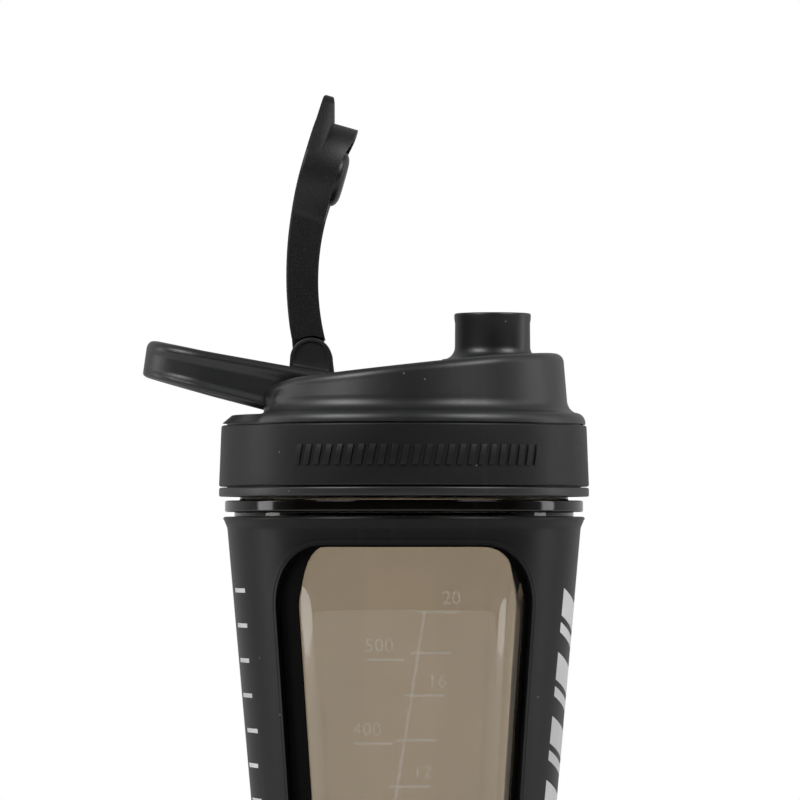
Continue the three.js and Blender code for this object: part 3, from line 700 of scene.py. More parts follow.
@dataclass
class Cup:
    """Clear cup with its neck, ring, thread and moulded scale."""

    levels: Levels
    floor: float = 4.0
    bottom: float = 2.1
    wall: float = 1.4
    neck_wall: float = 2.0
    ring_gap: float = 1.2
    ring_height: float = 2.95
    ring_width: float = 3.85
    foot_bend: float = 2.5
    inner_bend: float = 4.0
    edge: float = 0.45
    groove: float = 0.3  # bend under the ring
    support: float = 1.0  # from a bend to the next row
    shoulder: float = 4.2  # height of the bend inside the neck
    panel_raise: float = 1.35
    panel_angles: Point = (38.8, 31.3)  # where its bevel begins and ends
    panel_bottom: float = 35.0
    panel_top: float = 176.5
    panel_bevel: float = 17.0
    scale_top: float = 159.8
    label_height: float = 3.4

    @property
    def ring_top(self) -> float:
        """Upper side of the ring."""
        return self.levels.sleeve_top + self.ring_gap + self.ring_height

    def build(self) -> None:
        """Builds the cup and the scale on it."""
        levels = self.levels
        low = levels.sleeve_top + self.ring_gap
        high = self.ring_top
        neck = levels.neck_radius
        ring = neck + self.ring_width
        edge, groove = self.edge, self.groove
        outer = levels.cup_radius(levels.sleeve_top)
        foot = levels.cup_radius(self.bottom) - self.foot_bend
        bend = (self.foot_bend, self.foot_bend)
        cup = lathe("cup_wall", [
            (0, self.bottom),
            *arc(foot, self.bottom + self.foot_bend, bend, -90, 0),
            *[(levels.cup_radius(z), z) for z in self._heights()],
            (outer, levels.sleeve_top),
            (outer, low - groove - 0.2),
            *arc(outer + groove, low - groove, (groove, groove), 180, 90, 4),
            *arc(ring - edge, low + edge, (edge, edge), -90, 0, 5),
            *arc(ring - edge, high - edge, (edge, edge), 0, 90, 5),
            *arc(neck + edge, high + edge, (edge, edge), 270, 180, 4),
            (neck, high + self.support),
            (neck, levels.neck_top - self.support),
            *arc(neck - edge, levels.neck_top - edge, (edge, edge), 0, 90, 5),
            (0, levels.neck_top),
        ], ROUND * 2)
        for vertex in cup.data.vertices:
            vertex.co.xy *= 1 + self._panel(vertex.co.x, vertex.co.y, vertex.co.z / MM)
        ridge = thread("neck_thread", neck - THREAD_BITE, neck + THREAD_DEPTH, high + THREAD_START, 0)
        join(cup, ridge, Join.ADD)
        bore = neck - self.neck_wall
        wide = outer - self.wall
        inner = levels.cup_radius(self.floor) - self.wall - self.inner_bend
        bend = (self.inner_bend, self.inner_bend)
        inside = lathe("cup_inside", [
            (0, self.floor),
            *arc(inner, self.floor + self.inner_bend, bend, -90, 0),
            *[
                (levels.cup_radius(z) - self.wall, z)
                for z in np.linspace(self.floor + CLEAR, levels.sleeve_top - 0.2, 40).tolist()
            ],
            (levels.cup_radius(levels.sleeve_top) - self.wall, levels.sleeve_top),
            *[
                (wide + (bore - wide) * smooth(k / 6), levels.sleeve_top + self.shoulder * k / 6)
                for k in range(1, 7)
            ],
            (bore, levels.neck_top - edge),
            (bore + edge, levels.neck_top + 0.01),
            (bore + edge, levels.neck_top + CLEAR),
            (0, levels.neck_top + CLEAR),
        ])
        join(cup, inside, Join.CUT)
        margin = 0.1
        # The ring takes the near-black finish because it is thick. The thin wall in the gap below the ring
        # takes it as painted shade.
        thick_ring_and_gap_shade = (levels.sleeve_top - self.ring_gap / 2, high + margin)
        for face in cup.data.polygons:
            centre = face.center / MM
            beyond = math.hypot(centre.x, centre.y) > neck + THREAD_DEPTH + margin
            face.material_index = int(beyond and thick_ring_and_gap_shade[0] < centre.z < thick_ring_and_gap_shade[1])
        dress(cup, [SMOKE, SMOKE_THICK_AND_GAP_SHADE], Body.CUP, ("cup",))
        self._scale()

    def _heights(self) -> list[float]:
        """Heights of the rows of the outer wall, close together where the panels begin and end."""
        start = self.panel_bottom - 3
        stop = self.panel_bottom + self.panel_bevel + 3
        upper = self.panel_top - self.panel_bevel - 5
        return [
            *np.linspace(self.bottom + CLEAR, start - 3, 5).tolist(),
            *np.linspace(start, stop, 10).tolist(),
            *np.linspace(stop + 4, upper - 4, 14).tolist(),
            *np.linspace(upper, self.levels.sleeve_top - 0.2, 24).tolist(),
        ]

    def _panel(self, x: float, y: float, z: float) -> float:
        """How far the panels at the front and at the back raise the wall.

        Args:
            x: Place across.
            y: Place along the view.
            z: Height in millimetres.

        Returns:
            The raise, as a share of the radius.
        """
        first, last = self.panel_angles
        turn = math.degrees(math.atan2(abs(x), abs(y)))
        along = min(max((first - turn) / (first - last), 0.0), 1.0)
        side = 0.8 * along + 0.2 * smooth(along)
        low_end = smooth((z - self.panel_bottom) / self.panel_bevel)
        high_end = smooth((self.panel_top - z) / self.panel_bevel)
        return self.panel_raise * side * low_end * high_end / self.levels.cup_radius(z)

    def _scale(self) -> None:
        """Ticks, stem and numbers of the moulded scale."""
        levels = self.levels
        base = levels.sleeve_base - CUP_STEP + self.panel_raise
        common = {"proud": 0.3, "radius": base, "taper": levels.taper}
        tick = {"height": 0.75, **common}
        ounces = Marks(
            count=9, width=10.4, angle=11.6, top=self.scale_top, pitch=10.3, growth=1.045, run=-1.625, **tick
        )
        millis = Marks(count=5, width=9.8, angle=-6.6, top=147.8, pitch=21.2, growth=1.07, run=-3.2, **tick)
        stem = Marks(count=1, width=0.8, angle=-2.9, top=114.0, height=92.0, slant=0.16, **common)
        for name, marks in (("ounce_ticks", ounces), ("millilitre_ticks", millis), ("scale_stem", stem)):
            dress(marks.make(name, SMOKE_MARK), [SMOKE_MARK], Body.CUP)
        self._labels("ounce_numbers", ounces, ["20", "16", "12", "8", "4"], 2, 3.2)
        self._labels("millilitre_numbers", millis, ["500", "400", "300", "200", "100"], 1, -1.4)

    def _labels(self, name: str, marks: Marks, labels: list[str], every: int, aside: float) -> None:
        """Numbers that stand above ticks.

        Args:
            name: Name of the piece.
            marks: The ticks.
            labels: The numbers, from the top down.
            every: Number of ticks between labels.
            aside: How far right of its tick a number stands.
        """
        made: list[bpy.types.Object] = []
        for k, label in enumerate(labels):
            index = k * every
            drop = marks.pitch * (marks.growth**index - 1) / (marks.growth - 1)
            z = marks.top - drop + 2.0
            x = math.radians(marks.angle) * self.levels.cup_radius(z) + marks.run * index + aside
            made.append(self._number(label, x, z))
        with bpy.context.temp_override(active_object=made[0], selected_editable_objects=made):
            bpy.ops.object.join()
        made[0].name = name
        dress(made[0], [SMOKE_MARK], Body.CUP)

    def _number(self, label: str, x: float, z: float) -> bpy.types.Object:
        """A number wrapped on the wall of the cup.

        Args:
            label: Its digits.
            x: Where its middle stands, along the wall from the front.
            z: Height of its foot.

        Returns:
            The number as a plain mesh.
        """
        curve = bpy.data.curves.new("number", "FONT")
        curve.body = label
        curve.align_x = "CENTER"
        curve.size = self.label_height / 0.7
        curve.extrude = 0.2
        curve.resolution_u = 3
        source = bpy.data.objects.new("number", curve)
        bpy.context.scene.collection.objects.link(source)
        bpy.context.view_layer.update()
        mesh = bpy.data.meshes.new_from_object(source.evaluated_get(bpy.context.evaluated_depsgraph_get()))
        bpy.data.objects.remove(source)
        for vertex in mesh.vertices:
            across, up, out = vertex.co
            turn = (x + across) / self.levels.cup_radius(z)
            raised_by = self._panel(math.sin(turn), math.cos(turn), z + up)
            reach = self.levels.cup_radius(z + up) * (1 + raised_by) + out
            vertex.co = Vector((reach * math.sin(turn), -reach * math.cos(turn), z + up)) * MM
        bm = bmesh.new()
        bm.from_mesh(mesh)
        bmesh.ops.remove_doubles(bm, verts=bm.verts, dist=TINY)
        bmesh.ops.recalc_face_normals(bm, faces=bm.faces)
        bm.to_mesh(mesh)
        bm.free()
        made = bpy.data.objects.new("number_mesh", mesh)
        bpy.context.scene.collection.objects.link(made)
        return made


# ---- Sleeve ----


@dataclass
class Sleeve:
    """Soft sleeve with a window at the front and at the back."""

    levels: Levels
    wall: float = 1.8
    foot_bend: float = 3.0
    inner_bend: float = 2.5
    lip_height: float = 3.4
    lip_flare: float = SLEEVE_FLARE
    window_bottom: float = 27.0
    window_frame: float = 7.3
    window_angle: float = 48.0
    window_corner: float = 15.5
    rim_bend: float = 1.1
    cut_in: float = 4.0  # reach of the window's cutter, inwards
    cut_out: float = 3.0  # and outwards
    # Widened past the thin real lip as a painted dark band, standing in for the black sleeve seen by
    # refraction through the cup's wall.
    lip_left_painted_dark_band: float = 6.4
    lip_right: float = 1.0
    lip_back: float = 0.8

    def build(self) -> None:
        """Builds the sleeve, the rims of its windows and its printed marks."""
        levels = self.levels
        top = levels.sleeve_top
        neck = top - self.lip_height
        lip = levels.sleeve_radius(top) + self.lip_flare
        radius = levels.sleeve_radius
        inner = radius(self.wall) - self.wall - self.inner_bend
        flare_share = 0.95 * self.lip_flare
        rises = [self.lip_height * k / 8 for k in range(8)]
        flare = [(radius(neck + up) + flare_share * smooth(up / self.lip_height), neck + up) for up in rises]
        outside = [
            (0, 0),
            *arc(radius(0) - self.foot_bend, self.foot_bend, (self.foot_bend, self.foot_bend), -90, 0),
            *[(radius(z), z) for z in np.linspace(10, neck - 3, 24).tolist()],
            *flare,
            *arc(lip - 0.7, top - 0.7, (0.7, 0.7), 0, 90, 5),
        ]
        bore = radius(top) - self.wall
        inside = [
            *arc(bore + 0.5, top - 0.5, (0.5, 0.5), 90, 180, 4),
            *[(radius(z) - self.wall, z) for z in np.linspace(neck, 10, 24).tolist()],
            *arc(inner, self.wall + self.inner_bend, (self.inner_bend, self.inner_bend), 0, -90),
            (0, self.wall),
        ]
        sleeve = lathe("sleeve_shell", outside + inside)
        for turn in (0.0, 180.0):
            join(sleeve, self._cutter(turn), Join.CUT)
        dress(sleeve, [RUBBER], Body.CUP, ("sleeve",))
        for name, turn, left, right in (
            ("window_rim_front", 0.0, self.lip_left_painted_dark_band, self.lip_right),
            ("window_rim_back", 180.0, self.lip_back, self.lip_back),
        ):
            dress(self._rim(name, turn, left, right), [RUBBER, RUBBER_LIP_PAINTED_DARK], Body.CUP)
        self._prints()

    def _outline(self) -> list[Point]:
        """Outline of a window, unrolled: along the wall from its middle, and height."""
        low, high = self.window_bottom, self.levels.sleeve_top - self.window_frame
        angle = math.radians(self.window_angle)
        wide = [self.levels.sleeve_radius(z) * angle for z in (low, high)]
        corners = ((-wide[0], low), (wide[0], low), (wide[1], high), (-wide[1], high))
        return rounded([(x, z, self.window_corner) for x, z in corners], 14, 2.0)

    def _on_wall(self, along: float, z: float, out: float, turn: float) -> tuple[float, float, float]:
        """Point of the unrolled wall, put back on the sleeve.

        Args:
            along: Distance from the middle of the window.
            z: Height.
            out: Distance outwards from the wall.
            turn: Where the window faces, in degrees from the front.

        Returns:
            The point.
        """
        radius = self.levels.sleeve_radius(z)
        angle = along / radius + math.radians(turn)
        return ((radius + out) * math.sin(angle), -(radius + out) * math.cos(angle), z)

    def _cutter(self, turn: float) -> bpy.types.Object:
        """Curved slab that cuts a window."""
        outline = self._outline()
        middle = (self.window_bottom + self.levels.sleeve_top - self.window_frame) / 2
        shares = [k / 10 for k in range(11)]
        rows: list[Row] = []
        for out, order in ((-self.cut_in, shares), (self.cut_out, shares[::-1])):
            for s in order:
                spread = [(x * s, middle + (z - middle) * s) for x, z in outline]
                rows.append([self._on_wall(x, z, out, turn) for x, z in spread])
        return skin("window_cutter", rows)

    def _rim(self, name: str, turn: float, left: float, right: float) -> bpy.types.Object:
        """Rounded edge of a window with the thin lip that lies against the cup. The lip has a near-black,
        unreflecting finish and is widened at the left. It is a painted dark band that stands in for the black
        sleeve seen by refraction through the cup's wall.

        Args:
            name: Name of the piece.
            turn: Where the window faces, in degrees from the front.
            left: Width of the lip at the left.
            right: Width of the lip at the right.

        Returns:
            The rim, with the lip in its second material.
        """
        outline = self._outline()
        count = len(outline)
        bend, root, thin = self.rim_bend, self.rim_bend + 0.6, 0.1
        under = -self.wall - 0.22
        rows: list[Row] = []
        lip_from = 0
        for i, (x, z) in enumerate(outline):
            ahead, behind = Vector(outline[(i + 1) % count]), Vector(outline[i - 1])
            tangent = (ahead - behind).normalized()
            inward = Vector((-tangent.y, tangent.x))
            side = smooth(abs(inward.x)) * (left if inward.x > 0 else right)
            reach = 0.25 + max(side, 0.25)
            section = [
                (-root, -0.5),
                (-root, 0.0),
                *[(b, n) for b, n in arc(-bend, 0.05 - bend, (bend, bend), 90, 0, 6)],
                (0.0, -self.wall + 0.15),
            ]
            lip_from = len(section) - 1
            section += [(reach - thin, thin - self.wall), (reach, -self.wall), (reach, under), (-root, under)]
            row = []
            for b, n in section:
                spot = Vector((x, z)) + inward * b
                row.append(self._on_wall(spot.x, spot.y, n, turn))
            rows.append(row)
        rim = skin(name, rows, ring=True)
        per_row = len(rows[0])
        for k, face in enumerate(rim.data.polygons):
            face.material_index = int(k % per_row in range(lip_from, lip_from + 3))
        return rim

    def _prints(self) -> None:
        """Printed marks on both sides of the sleeve."""
        levels = self.levels
        common = {"proud": 0.08, "radius": levels.sleeve_base, "taper": levels.taper}
        column = {"count": 6, "width": 26.0, "angle": 84.0, "pitch": 16.4, "chevron": 0.32, **common}
        blocks = Marks(height=7.0, top=158.0, **column)
        bars = Marks(height=2.6, top=151.5, **column)
        row = {"count": 12, "width": 9.0, "angle": -73.0, "pitch": 9.0, **common}
        dashes = Marks(height=1.1, top=165.0, jitter=2.0, **row)
        for name, marks in (("side_blocks", blocks), ("side_bars", bars), ("side_dashes", dashes)):
            dress(marks.make(name, INK), [INK], Body.CUP)


# ---- Lid ----


@dataclass
class LidShell:
    """Screw lid: skirt, plug, sloped dome, spout, carry loop and hinge ears."""

    levels: Levels
    lip_height: float = 2.3
    collar_wall: float = 1.8
    web: float = 0.9
    foot_radius: float = 42.3
    top_radius: float = 41.5
    bore_radius: float = 38.8
    plug_radius: float = 40.2
    plug_depth: float = 6.5
    plug_wall: float = 1.4
    hollow_shoulder: float = 1.5
    thread_turn: float = 37.5  # where the lid's thread begins, in degrees
    thread_rise: float = 0.4  # of its lower end above the lid's bottom, before that turn
    wall: float = 2.0
    rise: float = 14.6
    slope: float = 0.11
    slope_beyond: float = 0.08  # past the spout
    shoulder: float = 2.4
    back: float = -36.0
    back_bend: float = 12.0
    back_height: float = 5.5
    back_from: float = -0.2  # cosine of the direction where the flat back may begin
    back_blend: float = 1.6
    shelf: float = 2.3
    shelf_start: float = 0.4  # behind the flat back
    shelf_fade: float = 2.2
    shelf_bevel: float = 2.4
    flange_inset: float = 0.9
    edge: float = 0.4
    bead: Point = (2.6, 2.7)
    fillet: Point = (3.0, 3.7)
    spout_x: float = 23.0
    spout_radius: float = 9.8
    spout_bore: float = 8.5
    spout_fillet: float = 3.3
    loop_half: float = 22.0
    loop_corner: float = 17.0
    loop_band: float = 4.5
    loop_rise: float = 21.5
    loop_slope: float = 0.18
    loop_end: float = 9.2
    loop_under: float = 0.262
    loop_groove: float = 0.95
    loop_lean: float = 1.3  # of its end
    ear_radius: float = 5.45
    ear_inside: float = 6.4
    ear_wall: float = 3.2
    ear_rim: float = 1.1
    ear_sill: float = 2.6  # foot of its hollow face, above the slope
    pin_hole: float = 1.85

    def slope_at(self, x: float) -> float:
        """Height of the sloped top, without its bend down the back."""
        beyond = self.slope_beyond * max(x - self.spout_x, 0.0)
        return self.levels.flange + self.rise + self.slope * min(x, self.spout_x) + beyond

    def top_at(self, x: float) -> float:
        """Height of the top of the dome with its bend down the back."""
        bend_start = self.back + self.back_bend
        if x >= bend_start:
            return self.slope_at(x)
        s = 1 - math.sqrt(max(x - self.back, 0.0) / self.back_bend)
        first, middle = self.slope_at(bend_start), self.slope_at(self.back)
        last = self.levels.flange + self.back_height
        return (1 - s) ** 2 * first + 2 * s * (1 - s) * middle + s * s * last

    def _plan(self, radius: float, angle: float, inset: float = 0.0) -> float:
        """Distance of the wall from the axis, with its flat back.

        Args:
            radius: Radius of the round part.
            angle: Direction in radians.
            inset: How far the flat back is drawn in.

        Returns:
            The distance.
        """
        if math.cos(angle) > self.back_from:
            return radius
        flat = (self.back + inset) / math.cos(angle)
        blend = self.back_blend
        h = min(max(0.5 + 0.5 * (radius - flat) / blend, 0.0), 1.0)
        return radius + (flat - radius) * h - blend * h * (1 - h)

    def _dome(
        self, name: str, profile: Callable[[float], list[Point]], radius: float, inset: float, bend: float
    ) -> bpy.types.Object:
        """Round body with the shoulder and the sloped top.

        Args:
            name: Name of the piece.
            profile: Radius and height of the points up to the wall, for a direction in radians.
            radius: Radius of the wall at the shoulder.
            inset: How far the top and the back are drawn in.
            bend: Radius of the shoulder.

        Returns:
            The body.
        """
        count, wall_steps, bend_steps, top_steps = 240, 10, 8, 22
        columns: list[Row] = []
        for i in range(count):
            angle = 2 * math.pi * i / count
            points = profile(angle)
            start_radius, start_height = points[-1]
            end_radius = self._plan(radius, angle, inset)
            middle = end_radius - bend
            crest = self.top_at(middle * math.cos(angle)) - inset
            for k in range(1, wall_steps + 1):
                t = k / wall_steps
                points.append((
                    start_radius + (end_radius - start_radius) * t,
                    start_height + (crest - bend - start_height) * t,
                ))
            points += arc(middle, crest - bend, (bend, bend), 0, 90, bend_steps)[1:]
            for k in range(1, top_steps + 1):
                reach = middle * (1 - k / top_steps)
                points.append((reach, self.top_at(reach * math.cos(angle)) - inset))
            columns.append([(r * math.cos(angle), r * math.sin(angle), z) for r, z in points])
        rows = [[column[j] for column in columns] for j in range(len(columns[0]))]
        return skin(name, rows)

    def _outside(self, angle: float) -> list[Point]:
        """Profile of the skirt, the flange and the foot of the dome in a direction.

        Args:
            angle: Direction in radians.

        Returns:
            Radius and height of each point, from the axis outwards and up.
        """
        levels = self.levels
        low, high, rim = levels.lid_bottom, levels.flange, levels.lid_radius
        skirt = rim - self.collar_wall - levels.gap
        edge = levels.collar_radius - self.flange_inset
        behind = smooth((self.shelf_start - self.back + edge * math.cos(angle)) / -self.shelf_fade)
        out = self._plan(self.foot_radius, angle)
        lift, chamfer = 0.3, 0.35
        shelf_edge = edge - self.shelf_bevel
        front = arc(edge - self.bead[0], high + lift, self.bead, 0, 72, 7)
        shares = [k / 7 for k in range(8)]
        block = [(edge - self.shelf_bevel * t, high + lift + (self.shelf - lift) * t) for t in shares]
        hollow_centre = self.foot_radius + self.fillet[0]
        front += arc(hollow_centre, high + self.bead[1] + self.fillet[1] + 0.2, self.fillet, 262, 180, 9)
        block += [(shelf_edge + (out - shelf_edge) * k / 9, high + self.shelf) for k in range(10)]
        return [
            (0.0, low),
            *arc(rim - self.edge, low + self.edge, (self.edge, self.edge), -90, 0, 4),
            *arc(rim - 0.5, low + self.lip_height - 0.5, (0.5, 0.5), 0, 90, 4),
            (skirt, low + self.lip_height),
            (skirt, high + chamfer * behind),
            (edge - 0.5 * behind, high + chamfer * behind),
            *[(f[0] + (b[0] - f[0]) * behind, f[1] + (b[1] - f[1]) * behind) for f, b in zip(front, block)],
        ]

    def build(self) -> None:
        """Builds the lid."""
        levels = self.levels
        web = levels.flange - self.web
        skirt_bore = levels.neck_radius + THREAD_DEPTH + levels.run
        lid = self._dome("lid_dome", self._outside, self.top_radius, 0.0, self.shoulder)
        join(lid, self._loop(), Join.ADD)
        for side in (-1, 1):
            join(lid, self._ear(side), Join.ADD)
        join(lid, self._spout(), Join.ADD)

        def inner(angle: float) -> list[Point]:
            """Profile of the hollow."""
            return [(0.0, web - 1), (self._plan(self.bore_radius, angle, self.wall), web - 1)]

        hollow = self._dome("lid_hollow", inner, self.bore_radius, self.wall, self.hollow_shoulder)
        join(lid, hollow, Join.CUT)
        below = levels.lid_bottom - CLEAR
        socket = [(0, below), (skirt_bore, below), (skirt_bore, web), (0, web)]
        join(lid, lathe("lid_socket", socket), Join.CUT)
        join(lid, self._bore(web), Join.CUT)
        join(lid, self._plug(web), Join.ADD)
        first = levels.lid_bottom + self.thread_rise + THREAD_LEAD * self.thread_turn / FULL_TURN
        crest = levels.neck_radius + levels.run
        join(lid, thread("lid_thread", skirt_bore + THREAD_BITE, crest, first, self.thread_turn), Join.ADD)
        x, z = levels.pin
        outline = arc(x, z, (self.pin_hole, self.pin_hole), *ROUND_BAR)
        hole = widened("pin_hole", outline, levels.pin_ends[0] - levels.gap, levels.pin_ends[1] + CLEAR)
        join(lid, hole, Join.CUT)
        dress(lid, [SATIN], Body.LID, ("lid_shell",), crease=38.0)

    def _bore(self, low: float) -> bpy.types.Object:
        """Bore of the spout, up from a height, with a bend at its mouth."""
        r, top, mouth = self.spout_bore, self.levels.spout_top, 0.5
        bore = [(0, low), (r, low), *arc(r + mouth, top - 0.45, (mouth, mouth), 180, 120, 4)]
        bore += [(r + self.edge, top + CLEAR), (0, top + CLEAR)]
        return lathe("spout_bore", bore, SMALL_ROUND, centre=self.spout_x)

    def _plug(self, high: float) -> bpy.types.Object:
        """Ring under the top that reaches into the neck, down from a height."""
        r, edge = self.plug_radius, self.edge
        inside, low = r - self.plug_wall, high - self.plug_depth
        return lathe("lid_plug", [
            (r, high + edge),
            (inside, high + edge),
            *arc(inside + edge, low + edge, (edge, edge), 180, 270, 4),
            *arc(r - edge, low + edge, (edge, edge), 270, 360, 4),
        ], ring=True)

    def _spout(self) -> bpy.types.Object:
        """Spout with a hollow bend at its foot and a thin lip."""
        r, top, fillet = self.spout_radius, self.levels.spout_top, self.spout_fillet
        foot = self.slope_at(self.spout_x)
        lip, flare, root = 0.5, 0.15, foot - self.wall - 1
        return lathe("spout", [
            (0, root),
            (r + fillet, root),
            *arc(r + fillet, foot + fillet - 0.2, (fillet, fillet), 270, 180, 10),
            (r - 0.05, top - 2.6),
            (r + flare, top - 1.4),
            *arc(r + flare - lip, top - lip, (lip, lip), 0, 90, 5),
            (0, top),
        ], SMALL_ROUND * 2, centre=self.spout_x)

    def _loop(self) -> bpy.types.Object:
        """Carry loop: a band with a bead above and below and a hollow between them."""
        reach, half, corner = self.levels.loop_reach, self.loop_half, self.loop_corner
        root, step = self.levels.pin[0] + 4.0, 1.5
        path = [(root - k * step, -half) for k in range(int((reach + root - corner) / step) + 1)]
        path += arc(-reach + corner, -half + corner, (corner, corner), 270, 180, 24)
        path += [(x, -y) for x, y in reversed(path)]
        rows: list[Row] = []
        for i, (x, y) in enumerate(path):
            ahead = Vector(path[min(i + 1, len(path) - 1)])
            tangent = (ahead - Vector(path[max(i - 1, 0)])).normalized()
            inward = Vector((-tangent.y, tangent.x)) * -1
            top = self.levels.flange + self.loop_rise - self.loop_slope * (x + reach)
            bottom = self.levels.flange + self.loop_rise - self.loop_end - self.loop_under * (x + reach)
            groove = smooth((abs(inward.y) - 0.2) / 0.7)
            lean = self.loop_lean * (1 - groove)
            section = [
                (d + lean * (1 - d / self.loop_band) * (z - bottom) / (top - bottom), z)
                for d, z in self._band(bottom, top, groove)
            ]
            rows.append([(x + inward.x * d, y + inward.y * d, z) for d, z in section])
        return skin("loop", rows)

    def _band(self, low: float, high: float, groove: float) -> list[Point]:
        """Section of the loop.

        Args:
            low: Its underside.
            high: Its top.
            groove: Share of the hollow in its outer face.

        Returns:
            Depth from the outer face and height of each point.
        """
        width, bead, foot, inner = self.loop_band, 1.9, 1.1, 1.5
        section = arc(bead, high - bead, (bead, bead), 90, 180, 8)
        for k in range(1, 13):
            t = k / 13
            depth = groove * self.loop_groove * smooth(t * 4) * smooth((1 - t) * 5)
            section.append((depth, high - bead + (low + foot - high + bead) * t))
        section += arc(foot, low + foot, (foot, foot), 180, 270, 6)
        section += arc(width - inner, low + inner, (inner, inner), 270, 360, 6)
        section += arc(width - inner, high - inner, (inner, inner), 0, 90, 6)
        return section

    def _ear(self, side: int) -> bpy.types.Object:
        """Hinge ear: a D-shaped plate with a bead round its hollow face.

        Args:
            side: -1 for the near ear, 1 for the far one.

        Returns:
            The ear.
        """
        x, z = self.levels.pin
        r, hollow, sink, tilt = self.ear_radius, 0.5, 1.0, 0.8
        foot = self.slope_at(x) - sink
        outline = [(x - r - 0.5, foot - sink), (x + r + 0.7, foot), *arc(x, z, (r, r), 0, 180, 32)]
        inner = r - self.ear_rim
        sill = self.slope_at(x) + self.ear_sill
        face = [(x - inner, sill + tilt), (x + inner, sill - tilt), *arc(x, z, (inner, inner), 0, 180, 32)]
        inside, outside = self.ear_inside * side, (self.ear_inside + self.ear_wall) * side
        ear = widened("ear", outline, min(inside, outside), max(inside, outside))
        edges = sorted((outside - hollow * side, outside + CLEAR * side))
        join(ear, widened("ear_face", face, *edges), Join.CUT)
        soften(ear, 0.4)
        return ear


@dataclass
class GripCollar:
    """Soft collar round the lid with a row of raised bars."""

    levels: Levels
    wall: float = 1.8
    draft: float = 0.6
    bar_low: float = 197.0
    bar_high: float = 202.2

    def build(self) -> None:
        """Builds the collar and the bars."""
        levels = self.levels
        low, high, radius = levels.collar_bottom, levels.collar_top, levels.collar_radius
        inner = radius - self.wall
        upper = radius - self.draft
        edge, crown = 0.5, 0.55
        collar = lathe("collar_band", [
            (inner, low),
            *arc(radius - edge, low + edge, (edge, edge), -90, 0, 5),
            *[(radius - self.draft * t, low + (high - low) * t) for t in (0.25, 0.5, 0.75)],
            *arc(upper - crown, high - crown, (crown, crown), 0, 90, 6),
            (inner, high),
        ], ring=True)
        dress(collar, [COLLAR], Body.LID, ("grip_collar",))
        middle = (self.bar_low + self.bar_high) / 2
        taper = -self.draft / (high - low)
        base = radius - taper * low
        common = {"proud": 0.8, "top": middle, "radius": base, "taper": taper, "slant": 0.18}
        height = self.bar_high - self.bar_low
        bars = Marks(count=24, width=1.5, height=height, angle=-34.0, run=2.86, **common)
        piece = bars.make("collar_bars", COLLAR)
        soften(piece, 0.2, 2, 60)
        dress(piece, [COLLAR], Body.LID)


@dataclass
class LidSeal:
    """Flat silicone ring between the neck and the lid."""

    levels: Levels
    width: float = 3.5

    def build(self) -> None:
        """Builds the seal."""
        low, high, radius = self.levels.seal
        bend = (high - low) / 2.4
        inner = radius - self.width
        ring = lathe("seal_band", [
            *arc(inner + bend, low + bend, (bend, bend), 180, 270, 5),
            *arc(radius - bend, low + bend, (bend, bend), 270, 360, 5),
            *arc(radius - bend, high - bend, (bend, bend), 0, 90, 5),
            *arc(inner + bend, high - bend, (bend, bend), 90, 180, 5),
        ], ring=True)
        dress(ring, [SEAL_GREY], Body.SEAL, ("lid_seal",))


# ---- Flip cap ----


